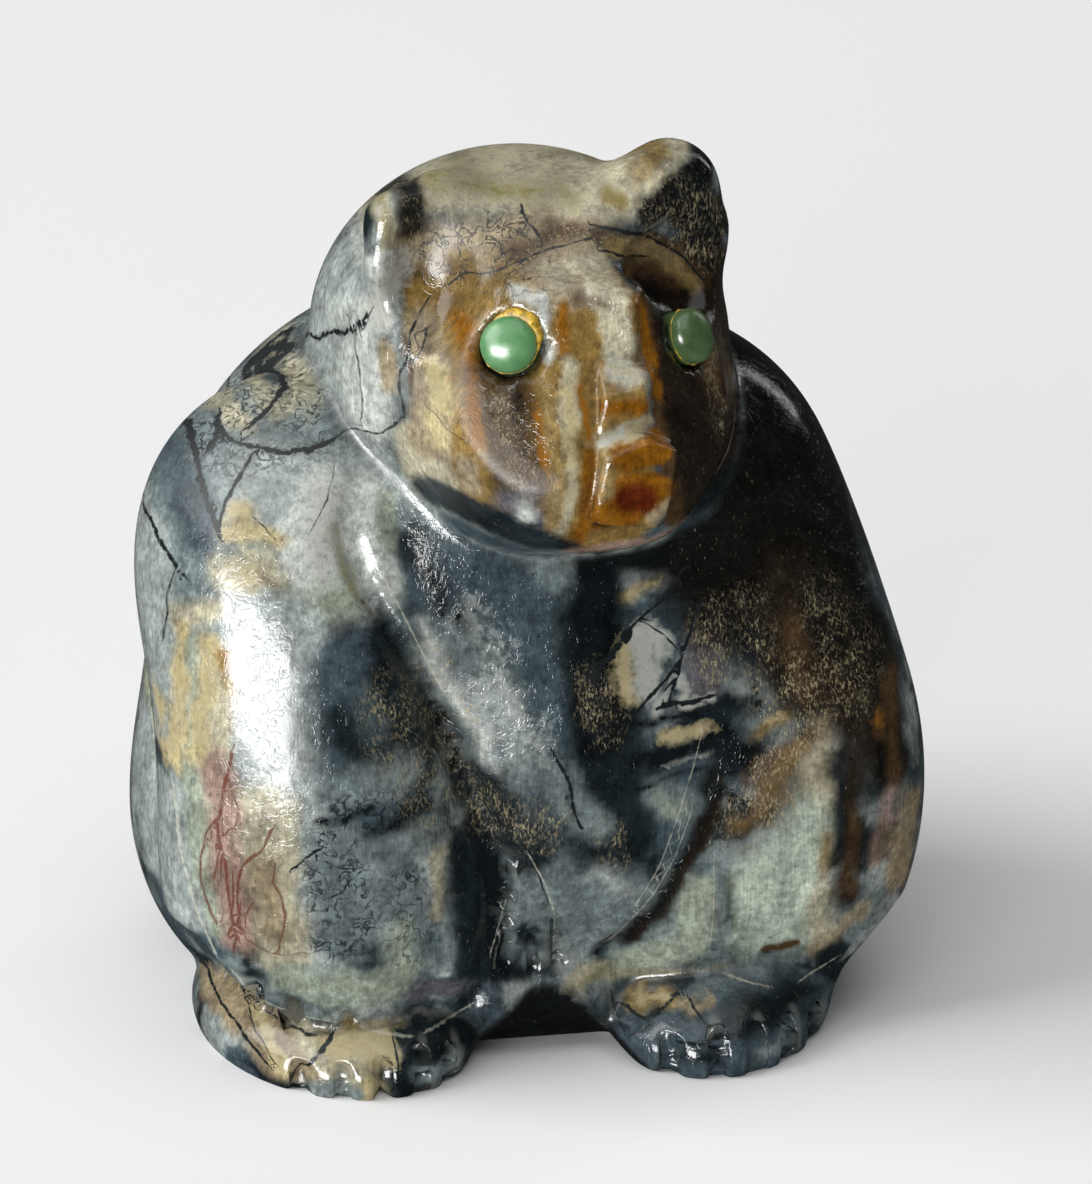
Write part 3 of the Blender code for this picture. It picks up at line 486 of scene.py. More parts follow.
HEAD_MARKS = rows(
    Zone,
    # Ink in the hollows of both ears: dark stone with painted shade.
    ("ink", ((-6.8, 45.8), (-7.2, 43.8)), 0.4, 0.6),
    ("ink", ((4.8, 43.6), (8.0, 44.9)), 0.5, 0.5),
    ("ink", ((7.0, 43.9), (8.8, 42.6)), 0.9, 0.7),
    ("olive", ((-8.7, 46.0), (-8.6, 43.0)), 0.12, 0.5),
    ("olive", ((-6.0, 45.6), (-2.0, 44.9), (1.0, 44.8)), 0.2, 1.0),
    ("olive", ((2.9, 44.8), (3.3, 44.6)), 0.2, 0.6),
    ("cream", ((-6.7, 37.2), (-6.4, 36.2)), 0.25, 0.6),
    # A painted highlight: white on the side of the head by the right ear.
    ("white", ((-8.8, 38.9), (-8.2, 40.4), (-7.4, 42.0)), 0.5, 0.7),
    ("brown", ((-6.6, 41.2), (-3.6, 42.0), (-1.6, 42.9)), 0.12, 1.0),
    ("brown", ((-2.4, 42.3), (0.4, 43.3), (3.2, 43.4)), 0.14, 0.6),
    ("brown", ((2.2, 43.5), (4.0, 42.9), (5.5, 42.0), (7.0, 41.0), (8.2, 39.9)), 0.1, 0.3),
    ("brown", ((3.2, 42.0), (4.4, 41.5), (5.8, 40.4)), 0.08, 0.3),
    ("brown", ((-4.1, 37.2), (-3.4, 33.4)), 0.7, 0.9),
    ("brown", ((-2.3, 37.2), (-2.3, 33.6)), 0.3, 0.7),
    ("brown", ((-7.0, 37.9), (-6.0, 39.4), (-4.8, 40.4)), 0.1, 0.3),
    ("brown", ((-7.9, 38.6), (-7.8, 35.8)), 0.12, 0.3),
    ("brown", ((0.3, 41.0), (1.6, 40.8)), 0.14, 0.5),
    ("amber", ((-5.0, 39.0), (-4.8, 34.4)), 0.14, 0.5),
    ("amber", ((-6.0, 37.4), (-5.7, 35.4)), 0.06, 0.3),
    ("amber", ((0.3, 37.6), (0.4, 33.4), (0.0, 29.6)), 0.12, 0.3),
    ("amber", ((-1.9, 36.4), (-1.9, 33.0)), 0.08, 0.4),
    ("amber", ((3.5, 40.4), (3.7, 38.2), (4.2, 36.4)), 0.12, 0.4),
    ("amber", ((0.9, 31.3), (1.5, 30.9)), 0.25, 0.4),
    ("cream", ((-0.2, 37.6), (-0.6, 34.8), (-0.8, 31.8)), 0.02, 0.6),
    # Painted highlights: on the bridge's upward facet, then along the ledge on top of the nose.
    ("cream", ((1.9, 37.9), (2.9, 37.5)), 0.2, 0.5),
    ("cream", ((0.6, 34.5), (2.0, 34.95), (3.6, 35.35)), 0.2, 0.3),
    ("white", ((0.8, 34.6), (2.2, 35.05)), 0.1, 0.3),
    # A painted highlight along the brow ridge over the right eye.
    ("white", ((-2.6, 41.3), (-1.9, 41.0)), 0.12, 0.3),
    ("ink", ((0.7, 30.5), (1.4, 30.2)), 0.2, 0.3),
    # Painted shade: an ink line along the underside of the jaw.
    ("ink", ((-5.6, 30.5), (-3.6, 29.5), (-1.8, 28.8)), 0.22, 0.4),
)

# ---- How each part of the skin is worked, as the same rows: dark flecks, pale dust in the pits, and matte
# ground
TEXTURES = ("flecks", "dust", "matte")
BODY_TEXTURES = rows(
    Zone,
    ("flecks", ((-12.4, 13.6), (-12.2, 9.0)), 1.6, 1.2),
    ("flecks", ((-12.0, 15.6), (-8.6, 15.4)), 1.0, 1.0),
    ("flecks", ((-17.0, 33.0), (-11.0, 34.6)), 2.0, 2.0),
    ("flecks", ((-8.8, 11.0), (-8.4, 7.6)), 1.2, 2.0),
    ("dust", ((9.4, 23.4), (10.4, 18.6)), 1.0, 2.2),
    ("dust", ((12.4, 19.4), (14.6, 19.4)), 1.8, 1.6),
    ("dust", ((13.6, 23.6), (15.4, 20.0)), 1.0, 2.6),
    ("dust", ((8.8, 12.4), (10.8, 14.4), (12.4, 17.6)), 1.4, 0.8),
    ("dust", ((7.2, 23.4), (7.2, 20.4)), 0.8, 0.8),
    ("dust", ((-9.2, 20.0), (-7.0, 15.0)), 1.6, 2.0),
    ("dust", ((-4.4, 14.4), (-1.6, 13.6)), 1.6, 1.4),
    ("dust", ((-6.8, 22.4), (-5.0, 18.4)), 0.8, 0.8),
    ("dust", ((1.2, 20.4), (1.6, 18.4)), 1.0, 1.0),
    ("dust", ((1.4, 12.8), (1.8, 11.0)), 0.7, 0.6),
    ("matte", ((-17.0, 33.0), (-11.0, 33.0)), 4.0, 3.0),
    ("matte", ((-13.4, 28.5), (-14.2, 17.0)), -0.4, 4.0),
    ("matte", ((-10.0, 31.0), (-10.8, 28.3), (-10.2, 26.4)), 0.5, 0.6),
)
HEAD_TEXTURES = rows(
    Zone,
    ("dust", ((5.4, 43.6), (8.4, 42.0)), 2.2, 0.8),
    ("dust", ((-7.0, 44.6), (-6.0, 42.0), (-1.6, 42.4), (2.0, 43.2)), 1.0, 1.6),
    ("dust", ((-3.8, 36.6), (-3.0, 33.0)), 0.7, 1.4),
    ("dust", ((8.0, 37.0), (8.6, 34.0)), 1.0, 1.2),
    ("flecks", ((-6.4, 42.4), (-2.0, 42.8)), 1.6, 1.2),
    ("matte", ((-6.0, 45.0), (3.0, 45.0)), 2.4, 1.6),
    ("matte", ((-7.6, 36.0), (-6.6, 33.0), (-5.4, 31.0)), 1.2, 1.0),
    ("matte", ((-5.5, 37.6), (-5.0, 35.5), (-3.6, 33.4), (-1.4, 32.2)), 0.9, 0.6),
)

# ---- Veins, and pale lines of painted highlight, on the front as (x, z) points with their half width
Vein = namedtuple("Vein", "points half")
BLACK_VEINS = rows(
    Vein,
    (((-17.2, 34.6), (-17.6, 33.4), (-17.9, 31.6), (-17.7, 29.8), (-17.2, 28.4)), 0.17),
    (((-16.4, 32.6), (-15.6, 32.3), (-14.0, 32.1), (-12.4, 32.2), (-11.2, 32.5)), 0.12),
    (((-11.2, 32.5), (-9.8, 32.9), (-8.8, 33.3), (-8.2, 34.4)), 0.07),
    (((-15.2, 33.0), (-14.2, 33.5), (-13.2, 34.3), (-12.2, 35.0)), 0.12),
    (((-12.2, 35.0), (-11.2, 36.2), (-10.3, 37.6), (-9.4, 39.4)), 0.09),
    (((-10.4, 37.6), (-9.6, 38.4), (-9.2, 39.6)), 0.05),
    (((-15.2, 31.9), (-16.0, 31.0), (-16.6, 30.0), (-17.3, 28.6)), 0.10),
    (((-16.4, 33.0), (-16.8, 32.2), (-17.4, 31.6)), 0.12),
    (((-20.3, 28.1), (-19.7, 27.0), (-19.2, 26.3), (-18.8, 26.1)), 0.11),
    (((-19.3, 26.2), (-19.7, 24.6), (-20.0, 22.6)), 0.05),
    (((-9.9, 39.0), (-9.8, 36.0), (-9.7, 33.6)), 0.04),
    (((-12.6, 28.8), (-11.8, 30.0), (-11.2, 31.6)), 0.04),
    (((-15.6, 29.4), (-14.6, 28.4)), 0.05),
    (((-13.2, 13.5), (-13.9, 13.0), (-14.4, 12.4)), 0.09),
    (((-12.8, 12.9), (-12.3, 12.6), (-11.6, 12.5)), 0.06),
    (((-12.9, 11.0), (-12.2, 11.2), (-11.8, 11.8)), 0.06),
    (((-16.4, 3.3), (-14.8, 2.9), (-13.2, 2.9)), 0.07),
    (((-14.6, 0.8), (-13.8, 1.7), (-12.6, 2.7), (-12.0, 3.3)), 0.11),
    (((-17.8, 2.6), (-16.8, 2.1), (-15.8, 1.2)), 0.10),
    (((-16.4, 3.6), (-16.2, 2.4), (-15.4, 1.4)), 0.06),
    (((-9.6, 2.9), (-9.4, 1.6), (-9.8, 0.4)), 0.07),
    (((1.2, 21.0), (2.2, 22.0), (3.4, 23.0)), 0.20),
    (((3.4, 23.0), (4.6, 24.1), (6.2, 25.9)), 0.09),
    (((4.1, 23.3), (5.0, 22.7), (5.8, 21.7)), 0.06),
    (((7.0, 24.0), (6.5, 22.6), (5.9, 21.6), (5.6, 20.4), (5.3, 19.2)), 0.10),
    (((5.8, 21.3), (5.0, 20.4), (4.2, 19.6), (3.4, 19.0)), 0.12),
    (((4.8, 19.0), (6.2, 19.2), (7.6, 19.2)), 0.13),
    (((-1.0, 17.6), (-0.2, 15.8), (0.4, 13.4)), 0.10),
    (((-2.3, 12.2), (-1.6, 10.6), (-0.9, 8.6), (-0.8, 5.0)), 0.05),
    (((2.3, 2.7), (3.8, 2.6), (5.5, 3.5)), 0.09),
    (((2.4, 3.1), (2.6, 1.8)), 0.08),
    (((3.8, 2.4), (3.0, 1.7)), 0.07),
    (((6.0, 3.4), (7.0, 2.6), (8.4, 2.1)), 0.08),
    (((5.0, 1.8), (8.0, 2.2), (9.5, 3.0)), 0.09),
    (((9.4, 3.4), (10.4, 2.2), (11.6, 1.4)), 0.07),
    (((-1.5, 44.2), (-1.0, 43.3)), 0.08),
    (((-8.0, 34.4), (-8.1, 36.6), (-7.5, 38.6), (-6.4, 39.9)), 0.07),
    (((-7.0, 35.4), (-6.2, 34.8), (-5.4, 34.4)), 0.04),
    (((-5.6, 40.6), (-4.4, 41.6), (-2.4, 42.3), (-0.4, 42.9), (1.8, 43.0)), 0.06),
    (((1.8, 43.6), (3.8, 43.1), (5.4, 42.2), (7.0, 40.9), (8.2, 39.4)), 0.09),
    (((2.2, 42.5), (3.8, 41.8), (5.0, 41.3)), 0.07),
    (((-8.1, 36.8), (-7.2, 38.0), (-6.4, 39.0)), 0.07),
)
RED_VEINS = rows(
    Vein,
    (((-17.2, 18.4), (-17.6, 16.8), (-17.9, 14.6), (-17.8, 12.6), (-17.6, 10.6), (-17.6, 8.4)), 0.10),
    (((-15.5, 14.6), (-16.0, 13.6), (-16.8, 12.6), (-17.1, 11.2), (-17.2, 9.4), (-17.3, 7.6)), 0.09),
    (((-18.0, 14.6), (-18.5, 13.4), (-18.9, 12.0), (-18.7, 10.4), (-18.2, 8.8)), 0.07),
    (((-17.4, 14.2), (-18.0, 13.0), (-18.2, 11.4)), 0.06),
    (((-17.4, 16.4), (-17.0, 15.4), (-17.2, 14.2)), 0.05),
    (((-16.4, 10.4), (-16.9, 9.6), (-16.9, 8.4)), 0.06),
    (((-15.4, 12.6), (-15.5, 11.8), (-15.0, 11.1), (-14.9, 9.9), (-15.1, 8.9), (-15.2, 7.8)), 0.08),
    (((-16.8, 8.2), (-15.8, 7.8), (-15.2, 7.6), (-14.0, 7.8)), 0.05),
)
# Not veins: pale lines of painted highlight, where edges, the lips of grooves and the rim of the face catch
# the light.
PAINTED_HIGHLIGHT_LINES = rows(
    Vein,
    (((-19.9, 15.6), (-19.7, 12.0), (-19.0, 9.0), (-18.2, 7.0)), 0.07),
    (((-9.0, 42.0), (-8.9, 40.2), (-8.6, 39.0)), 0.06),
    (((-17.4, 6.2), (-16.6, 5.2), (-16.3, 4.6)), 0.06),
    (((-15.9, 4.7), (-14.9, 4.2)), 0.06),
    (((-14.0, 3.9), (-12.0, 3.4)), 0.06),
    (((-11.1, 3.2), (-8.5, 2.7)), 0.06),
    (((-7.7, 2.7), (-6.0, 2.7), (-4.9, 3.2)), 0.06),
    (((-2.2, 11.8), (-1.4, 10.2), (-0.7, 8.0), (-0.6, 5.4)), 0.05),
    (((-3.1, 9.4), (-3.5, 8.0), (-4.1, 6.0)), 0.04),
    (((7.0, 17.6), (6.5, 15.8), (5.6, 13.2), (4.6, 10.6), (3.4, 8.4)), 0.04),
    (((6.4, 13.6), (5.4, 11.0), (4.2, 8.8), (2.2, 6.2)), 0.04),
    (((7.4, 11.0), (7.4, 8.2), (7.3, 5.6)), 0.04),
    (((8.2, 4.2), (10.4, 3.6)), 0.07),
    (((12.2, 3.5), (14.4, 4.2)), 0.06),
    (((9.9, 36.0), (9.7, 33.6), (8.8, 31.2), (7.4, 29.8)), 0.07),
    (((-9.4, 26.8), (-8.4, 24.8), (-7.4, 22.6), (-6.2, 20.2)), 0.06),
)


# ---- The smooth form of the bear: signed distances in millimetres, negative inside the stone

def turned(yaw, roll=0.0):
    """Columns side, forward and up of something that faces -Y, turned by yaw and tipped sideways by roll.
    Forward runs the other way round from a right-handed frame, so this one mirrors what is placed by it."""
    turn, tip = math.radians(yaw), math.radians(roll)
    side = np.array((math.cos(turn), math.sin(turn), 0.0))
    forward = np.array((math.sin(turn), -math.cos(turn), 0.0))
    up = np.array((0.0, 0.0, 1.0))
    return np.stack((side * math.cos(tip) - up * math.sin(tip), forward,
                     side * math.sin(tip) + up * math.cos(tip)), axis=1)


HEAD_FRAME = turned(HEAD_YAW, HEAD_ROLL)


def blend(a, b, width):
    """The two shapes together, with a fillet of this width in the crease."""
    near = np.maximum(width - np.abs(a - b), 0.0) / width
    return np.minimum(a, b) - near * near * width * 0.25


def keep(a, b, width):
    """What both shapes share, with the edge rounded over this width."""
    return -blend(-a, -b, width)


def ramp(value, low, high):
    """From 0 at low to 1 at high, with a soft start and end."""
    share = np.clip((value - low) / (high - low), 0.0, 1.0)
    return share * share * (3.0 - 2.0 * share)


def lobe_distance(points, lobe):
    """Distance to an ellipsoid: exact on its surface and near enough around it."""
    local = points - np.array(lobe.centre)
    if lobe.yaw:
        local = local @ turned(lobe.yaw)
    radii = np.array(lobe.radii)
    scaled = local / radii
    reach = np.sqrt((scaled * scaled).sum(axis=-1))
    scaled /= radii
    slope = np.sqrt((scaled * scaled).sum(axis=-1))
    return reach * (reach - 1.0) / np.maximum(slope, 1e-6)


def rod_distance(points, start, end, start_radius, end_radius):
    """Distance to a rod with round ends that tapers from one radius to the other."""
    start, axis = np.array(start), np.array(end) - np.array(start)
    along = np.clip((points - start) @ axis / (axis @ axis), 0.0, 1.0)
    gap = points - start - along[..., None] * axis
    return np.sqrt((gap * gap).sum(axis=-1)) - (start_radius + (end_radius - start_radius) * along)


def roll_distance(points, stations):
    """A bent roll through stations, each a point and the roll's radius there."""
    found = None
    for (start, start_radius), (end, end_radius) in zip(stations[:-1], stations[1:]):
        rod = rod_distance(points, start, end, start_radius, end_radius)
        found = rod if found is None else blend(found, rod, 1.0)
    return found


def plane_distance(points, point, facing):
    """Height over the flat that passes through point and faces this way."""
    return (points - np.array(point)) @ (np.array(facing) / np.linalg.norm(facing))


def offsets(x, z, line):
    """For each stretch of an open line across the front: its direction, and how far (x, z) is off it."""
    for (x0, z0), (x1, z1) in zip(line[:-1], line[1:]):
        dx, dz = x1 - x0, z1 - z0
        along = np.clip(((x - x0) * dx + (z - z0) * dz) / (dx * dx + dz * dz), 0.0, 1.0)
        yield dx, dz, x - x0 - along * dx, z - z0 - along * dz


def line_distance(x, z, line):
    """Distance across the front, from (x, z) to an open line."""
    return np.minimum.reduce([np.hypot(off_x, off_z) for _, _, off_x, off_z in offsets(x, z, line)])


def mirrored(vector, side):
    """The vector as it stands for one side of the head: -1 is the bear's right, 1 its left."""
    return (side * vector[0], vector[1], vector[2])


def block_distance(local, block):
    """A small block with rounded edges, tipped sideways, with its flats ground on."""
    tip = math.radians(block.tip)
    side, forward, up = np.moveaxis(local - np.array(block.centre), -1, 0)
    side, up = side * math.cos(tip) - up * math.sin(tip), side * math.sin(tip) + up * math.cos(tip)
    over = np.abs(np.stack((side, forward, up), axis=-1)) - (np.array(block.half) - block.edge)
    found = np.linalg.norm(np.maximum(over, 0.0), axis=-1) + np.minimum(over.max(axis=-1), 0.0) - block.edge
    for point, facing in block.flats:
        found = keep(found, plane_distance(local, point, facing), block.edge)
    return found


def face_form(local):
    """The wedge of the face, ground to flats, with the brow, the bridge and the square nose on it."""
    wedge = lobe_distance(local, FACE_BALL)
    for side in (-1, 1):
        cheek = plane_distance(local, mirrored(CHEEK_POINT, side), mirrored(CHEEK_FACING, side))
        wedge = keep(wedge, cheek, CHEEK_EDGE)
    for point, facing, width in MIDDLE_FLATS:
        wedge = keep(wedge, plane_distance(local, point, facing), width)
    wedge = blend(wedge, roll_distance(local, BROW), BROW_FILLET)
    for block in BLOCKS:
        wedge = blend(wedge, block_distance(local, block), BLOCK_FILLET)
    return wedge


def head_form(points):
    """Skull and jaw with the ears, the face and the two drilled eye sockets."""
    local = (points - np.array(HEAD_CENTRE)) @ HEAD_FRAME
    stone = blend(lobe_distance(local, SKULL), lobe_distance(local, JAW), HEAD_FILLET)
    for stations in EAR_ROLLS:
        stone = blend(stone, roll_distance(local, stations), HEAD_FILLET)
    stone = keep(stone, np.abs(local[..., 0]) - HEAD_FLATS, 0.4)
    stone = blend(stone, face_form(local), FACE_FILLET)
    for hollow, width in zip(EAR_HOLLOWS, EAR_HOLLOW_EDGES):
        stone = keep(stone, -lobe_distance(local, hollow), width)
    for side in (-1, 1):
        axis = np.array(mirrored(CHEEK_FACING, side)) / np.linalg.norm(CHEEK_FACING)
        out = local - np.array(mirrored(CHEEK_POINT, side))
        height = out @ axis
        across = np.sqrt(np.maximum((out * out).sum(axis=-1) - height * height, 0.0))
        socket = keep(across - SOCKET_RADIUS, -EYE_SEAT - height, SOCKET_FLOOR_EDGE)
        stone = keep(stone, -socket, SOCKET_LIP)
    return stone


def arm_form(points, side, fine=True):
    """One arm with its mitten, cut off under the paw: side 0 is the bear's right arm, 1 its left."""
    arm = blend(lobe_distance(points, UPPER_ARMS[side]), lobe_distance(points, MITTENS[side]),
                ELBOW_FILLETS[side])
    across, heights = zip(*PAW_UNDERSIDES[side])
    underside = np.interp(points[..., 0], across, heights)
    if fine:
        for bite in BITES[side]:
            inside = bite.half - np.abs(points[..., 0] - bite.x)
            underside += bite.tall * ramp(inside, -BITE_EDGE, BITE_EDGE)
    return keep(arm, underside - points[..., 2], PAW_EDGE)


def arch_form(points):
    """The hollow between the feet, closed at its inner end."""
    mouth, end = np.array(ARCH_MOUTH), np.array(ARCH_END)
    along = (points[..., 1:2] - mouth[1]) / (end[1] - mouth[1])
    offset = points - (mouth + along * (end - mouth))
    slope = math.radians(ARCH_SLOPE)
    height, across = offset[..., 2] * math.cos(slope), offset[..., 0] * math.sin(slope)
    hollow = keep(height - across, height + across, ARCH_RIDGE)
    return keep(hollow, points[..., 1] - ARCH_BACK[0] + ARCH_BACK[1] * points[..., 2], ARCH_BACK_EDGE)


def body_form(points):
    """Trunk, haunches and thighs."""
    stone = blend(lobe_distance(points, TRUNK), lobe_distance(points, SHOULDERS), SHOULDER_FILLET)
    for lobe in HAUNCHES:
        stone = blend(stone, lobe_distance(points, lobe), HAUNCH_FILLET)
    for lobe in THIGHS + (BELLY, WEB):
        stone = blend(stone, lobe_distance(points, lobe), THIGH_FILLET)
    return stone


def feet_form(points):
    """Both feet, before the paws are cut clear of them."""
    return np.minimum(*(lobe_distance(points, lobe) for lobe in FEET))


def engraved(points, foot):
    """How deep the lines and the grooves between the toes go. Foot is 1 on the feet and 0 elsewhere."""
    x, z = points[..., 0], points[..., 2]
    front = ramp(-points[..., 1], 8.0, 10.0)
    lines = sum(groove.depth * np.exp(-(line_distance(x, z, groove.points) / groove.half) ** 2)
                for groove in GROOVES)
    toes = sum(toe.depth * np.exp(-((x - toe.x) / toe.half) ** 2) * ramp(toe.top - z, -TOE_END, TOE_END)
               for toe in TOES)
    return front * (lines * (1.0 - foot) + toes * foot)


def bear_form(points, fine=True):
    """The whole carving, and only its broad shapes unless fine. It runs on a little below the ground."""
    arms = [arm_form(points, side, fine) for side in range(2)]
    arm = np.minimum(*arms)
    feet = keep(feet_form(points), PAW_GAP - arm, FOOT_EDGE)
    body = body_form(points)
    stone = blend(body, feet, FOOT_FILLET)
    for side, width in enumerate(ARM_CREASES):
        stone = blend(stone, arms[side], width)
    if fine:
        foot = np.clip(0.5 + (np.minimum(arm, body) - feet) / 0.4, 0.0, 1.0)
        stone = stone + engraved(points, foot)
    stone = keep(stone, -arch_form(points), ARCH_EDGE)
    stone = blend(stone, head_form(points), NECK_FILLET)
    return keep(stone, -BASE_DEPTH - points[..., 2], 0.4)


# ---- Meshes

def object_of(name, data):
    """An object in the scene for a mesh, a light or a camera."""
    found = bpy.data.objects.new(name, data)
    bpy.context.scene.collection.objects.link(found)
    return found


def mesh_of(name, bm, material=None):
    """A mesh from a bmesh, which it uses up."""
    made = bpy.data.meshes.new(name)
    bm.to_mesh(made)
    bm.free()
    if material:
        made.materials.append(material)
    return made


def vectors_of(items, what):
    """A row of three numbers for each item."""
    found = np.empty(len(items) * 3)
    items.foreach_get(what, found)
    return found.reshape(-1, 3)


def model_matrix():
    """From the carver's frame to the model's."""
    return Matrix.Translation(Vector(TO_MODEL) * MM)


def head_matrix():
    """The place of the head in the carver's frame."""
    turn = Matrix([list(row) for row in HEAD_FRAME]).to_4x4()
    return Matrix.Translation(Vector(HEAD_CENTRE) * MM) @ turn


def rough_out(voxel):
    """The lumps of the form as plain ellipsoids, fused into one skin."""
    bm = bmesh.new()
    head = head_matrix()
    lumps = [(lobe, Matrix.Identity(4))
             for lobe in (TRUNK, SHOULDERS, BELLY) + HAUNCHES + THIGHS + UPPER_ARMS + MITTENS + FEET]
    lumps += [(lobe, head) for lobe in (SKULL, JAW)]
    lumps += [(Lobe(centre, (radius,) * 3), head)
              for stations in EAR_ROLLS + (BROW,) for centre, radius in stations]
    lumps += [(Lobe(block.centre, (max(block.half),) * 3), head) for block in BLOCKS]
    for lobe, place in lumps:
        place = place @ Matrix.Translation(Vector(lobe.centre) * MM)
        place = place @ Matrix.Rotation(math.radians(lobe.yaw), 4, "Z")
        bmesh.ops.create_icosphere(bm, subdivisions=4, radius=MM,
                                   matrix=place @ Matrix.Diagonal((*lobe.radii, 1.0)))
    rough = object_of("rough_stone", mesh_of("rough_stone", bm))
    skin = rough.modifiers.new("Skin", "REMESH")
    skin.mode = "VOXEL"
    skin.voxel_size = voxel * MM
    graph = bpy.context.evaluated_depsgraph_get()
    fused = bpy.data.meshes.new_from_object(rough.evaluated_get(graph))
    bpy.data.objects.remove(rough)
    return fused


# Four directions that point to the corners of a tetrahedron, for reading a slope from four distances.
PROBES = np.array(((1.0, -1.0, -1.0), (-1.0, -1.0, 1.0), (-1.0, 1.0, -1.0), (1.0, 1.0, 1.0)))
LONGEST_STEP = 1.2  # the most that a vertex moves in one pass, as a multiple of the slope there


def carve(mesh, relaxed, settled, fine):
    """Moves each vertex onto the form, down the slope of its distance. The relaxed passes, which come first,
    also even out the spacing."""
    points = vectors_of(mesh.vertices, "co") / MM
    edges = np.empty(len(mesh.edges) * 2, np.int32)
    mesh.edges.foreach_get("vertices", edges)
    edges = edges.reshape(-1, 2)
    degree = np.bincount(edges.ravel(), minlength=len(points))
    reach = 0.03 if fine else 0.06
    for index in range(relaxed + settled):
        if index < relaxed:
            for axis in range(3):
                total = np.bincount(edges[:, 0], points[edges[:, 1], axis], len(points))
                total += np.bincount(edges[:, 1], points[edges[:, 0], axis], len(points))
                points[:, axis] += 0.5 * (total / degree - points[:, axis])
        probes = [bear_form(points + reach * probe, fine) for probe in PROBES]
        distance = sum(probes) / 4.0
        slope = sum(found[:, None] * probe for found, probe in zip(probes, PROBES)) / (4.0 * reach)
        steep = np.maximum((slope * slope).sum(axis=1), 0.25)
        points -= slope * np.clip(distance / steep, -LONGEST_STEP, LONGEST_STEP)[:, None]
    mesh.vertices.foreach_set("co", (points * MM).ravel())
    mesh.update()


def refine(mesh, wanted):
    """Halves the faces whose middle passes the test."""
    bm = bmesh.new()
    bm.from_mesh(mesh)
    edges = {edge for face in bm.faces if wanted(face.calc_center_median() / MM) for edge in face.edges}
    bmesh.ops.subdivide_edges(bm, edges=list(edges), cuts=1, use_grid_fill=True)
    bm.to_mesh(mesh)
    bm.free()
    mesh.update()


def close_up(middle):
    """Where the carving is finest: the face, and the lower edges of paws and feet apart from the arch."""
    x, y, z = middle
    face = y < -11.0 and z > 28.0
    arch = -4.0 < x < 1.0 and z < 4.0
    return face or (y < -8.5 and z < 7.0 and not arch)


def saw_base(mesh):
    """Cuts the stone off flat at the ground and closes the cut."""
    bm = bmesh.new()
    bm.from_mesh(mesh)
    whole = bm.verts[:] + bm.edges[:] + bm.faces[:]
    bmesh.ops.bisect_plane(bm, geom=whole, dist=1e-6, plane_co=(0.0, 0.0, 0.0), plane_no=(0.0, 0.0, 1.0),
                           clear_inner=True)
    # Slivers along the cut are merged, and what they leave loose is taken away below.
    bmesh.ops.remove_doubles(bm, verts=[vert for vert in bm.verts if vert.is_boundary], dist=0.04 * MM)
    bmesh.ops.dissolve_degenerate(bm, edges=bm.edges[:], dist=0.001 * MM)
    rim = [edge for edge in bm.edges if edge.is_boundary]
    base = bmesh.ops.contextual_create(bm, geom=rim)["faces"]
    bmesh.ops.triangulate(bm, faces=base)
    bmesh.ops.delete(bm, geom=[vert for vert in bm.verts if not vert.link_faces], context="VERTS")
    bmesh.ops.recalc_face_normals(bm, faces=bm.faces[:])
    bm.to_mesh(mesh)
    bm.free()
    mesh.update()


# ---- Laying the stone's zones on its skin

def warp(points, size, amount, offset):
    """A smooth push of each point, so that no zone or vein has a drawn outline."""
    scaled = points / size + offset
    return amount * np.array([noise.noise_vector(Vector(point)) for point in scaled])


def cloud(points, size, offset):
    """Smooth noise about 0, one value for each point."""
    scaled = points / size + offset
    return np.array([noise.fractal(Vector(point), 0.8, 2.0, 4) for point in scaled])


def zone_level(x, z, zone):
    """Steps of its own softness inside the zone's edge, negative outside."""
    return (zone.half - line_distance(x, z, zone.line)) / zone.soft


def vein_field(x, z, veins, share):
    """Signed distance, plain distance and half width of the nearest vein. The sign tells the vein's two sides
    apart, so that between two vertices the distance still passes through 0 on the vein."""
    gap = np.full(x.shape, 9.0)
    signed = gap.copy()
    width = np.zeros(x.shape)
    for vein in veins:
        for dx, dz, off_x, off_z in offsets(x, z, vein.points):
            away = np.hypot(off_x, off_z)
            nearer = away < gap
            side = np.where(dx * off_z - dz * off_x < 0.0, -1.0, 1.0)
            signed = np.where(nearer, side * away, signed)
            width = np.where(nearer, vein.half, width)
            gap = np.minimum(gap, away)
    return np.stack((signed, gap, width * share), axis=1)


def linear(hex_value):
    """A colour's sRGB hex value as linear red, green and blue."""
    parts = [int(hex_value[start:start + 2], 16) / 255.0 for start in (1, 3, 5)]
    return tuple(part / 12.92 if part <= 0.04045 else ((part + 0.055) / 1.055) ** 2.4 for part in parts)


def add_attribute(mesh, name, values):
    """Three numbers for each vertex, for the material to read."""
    made = mesh.attributes.new(name, "FLOAT_VECTOR", "POINT")
    made.data.foreach_set("vector", np.ascontiguousarray(values, np.float32).ravel())


OFF_SHARE = 6.0  # how far a crisp mark's level falls where its part of the skin ends


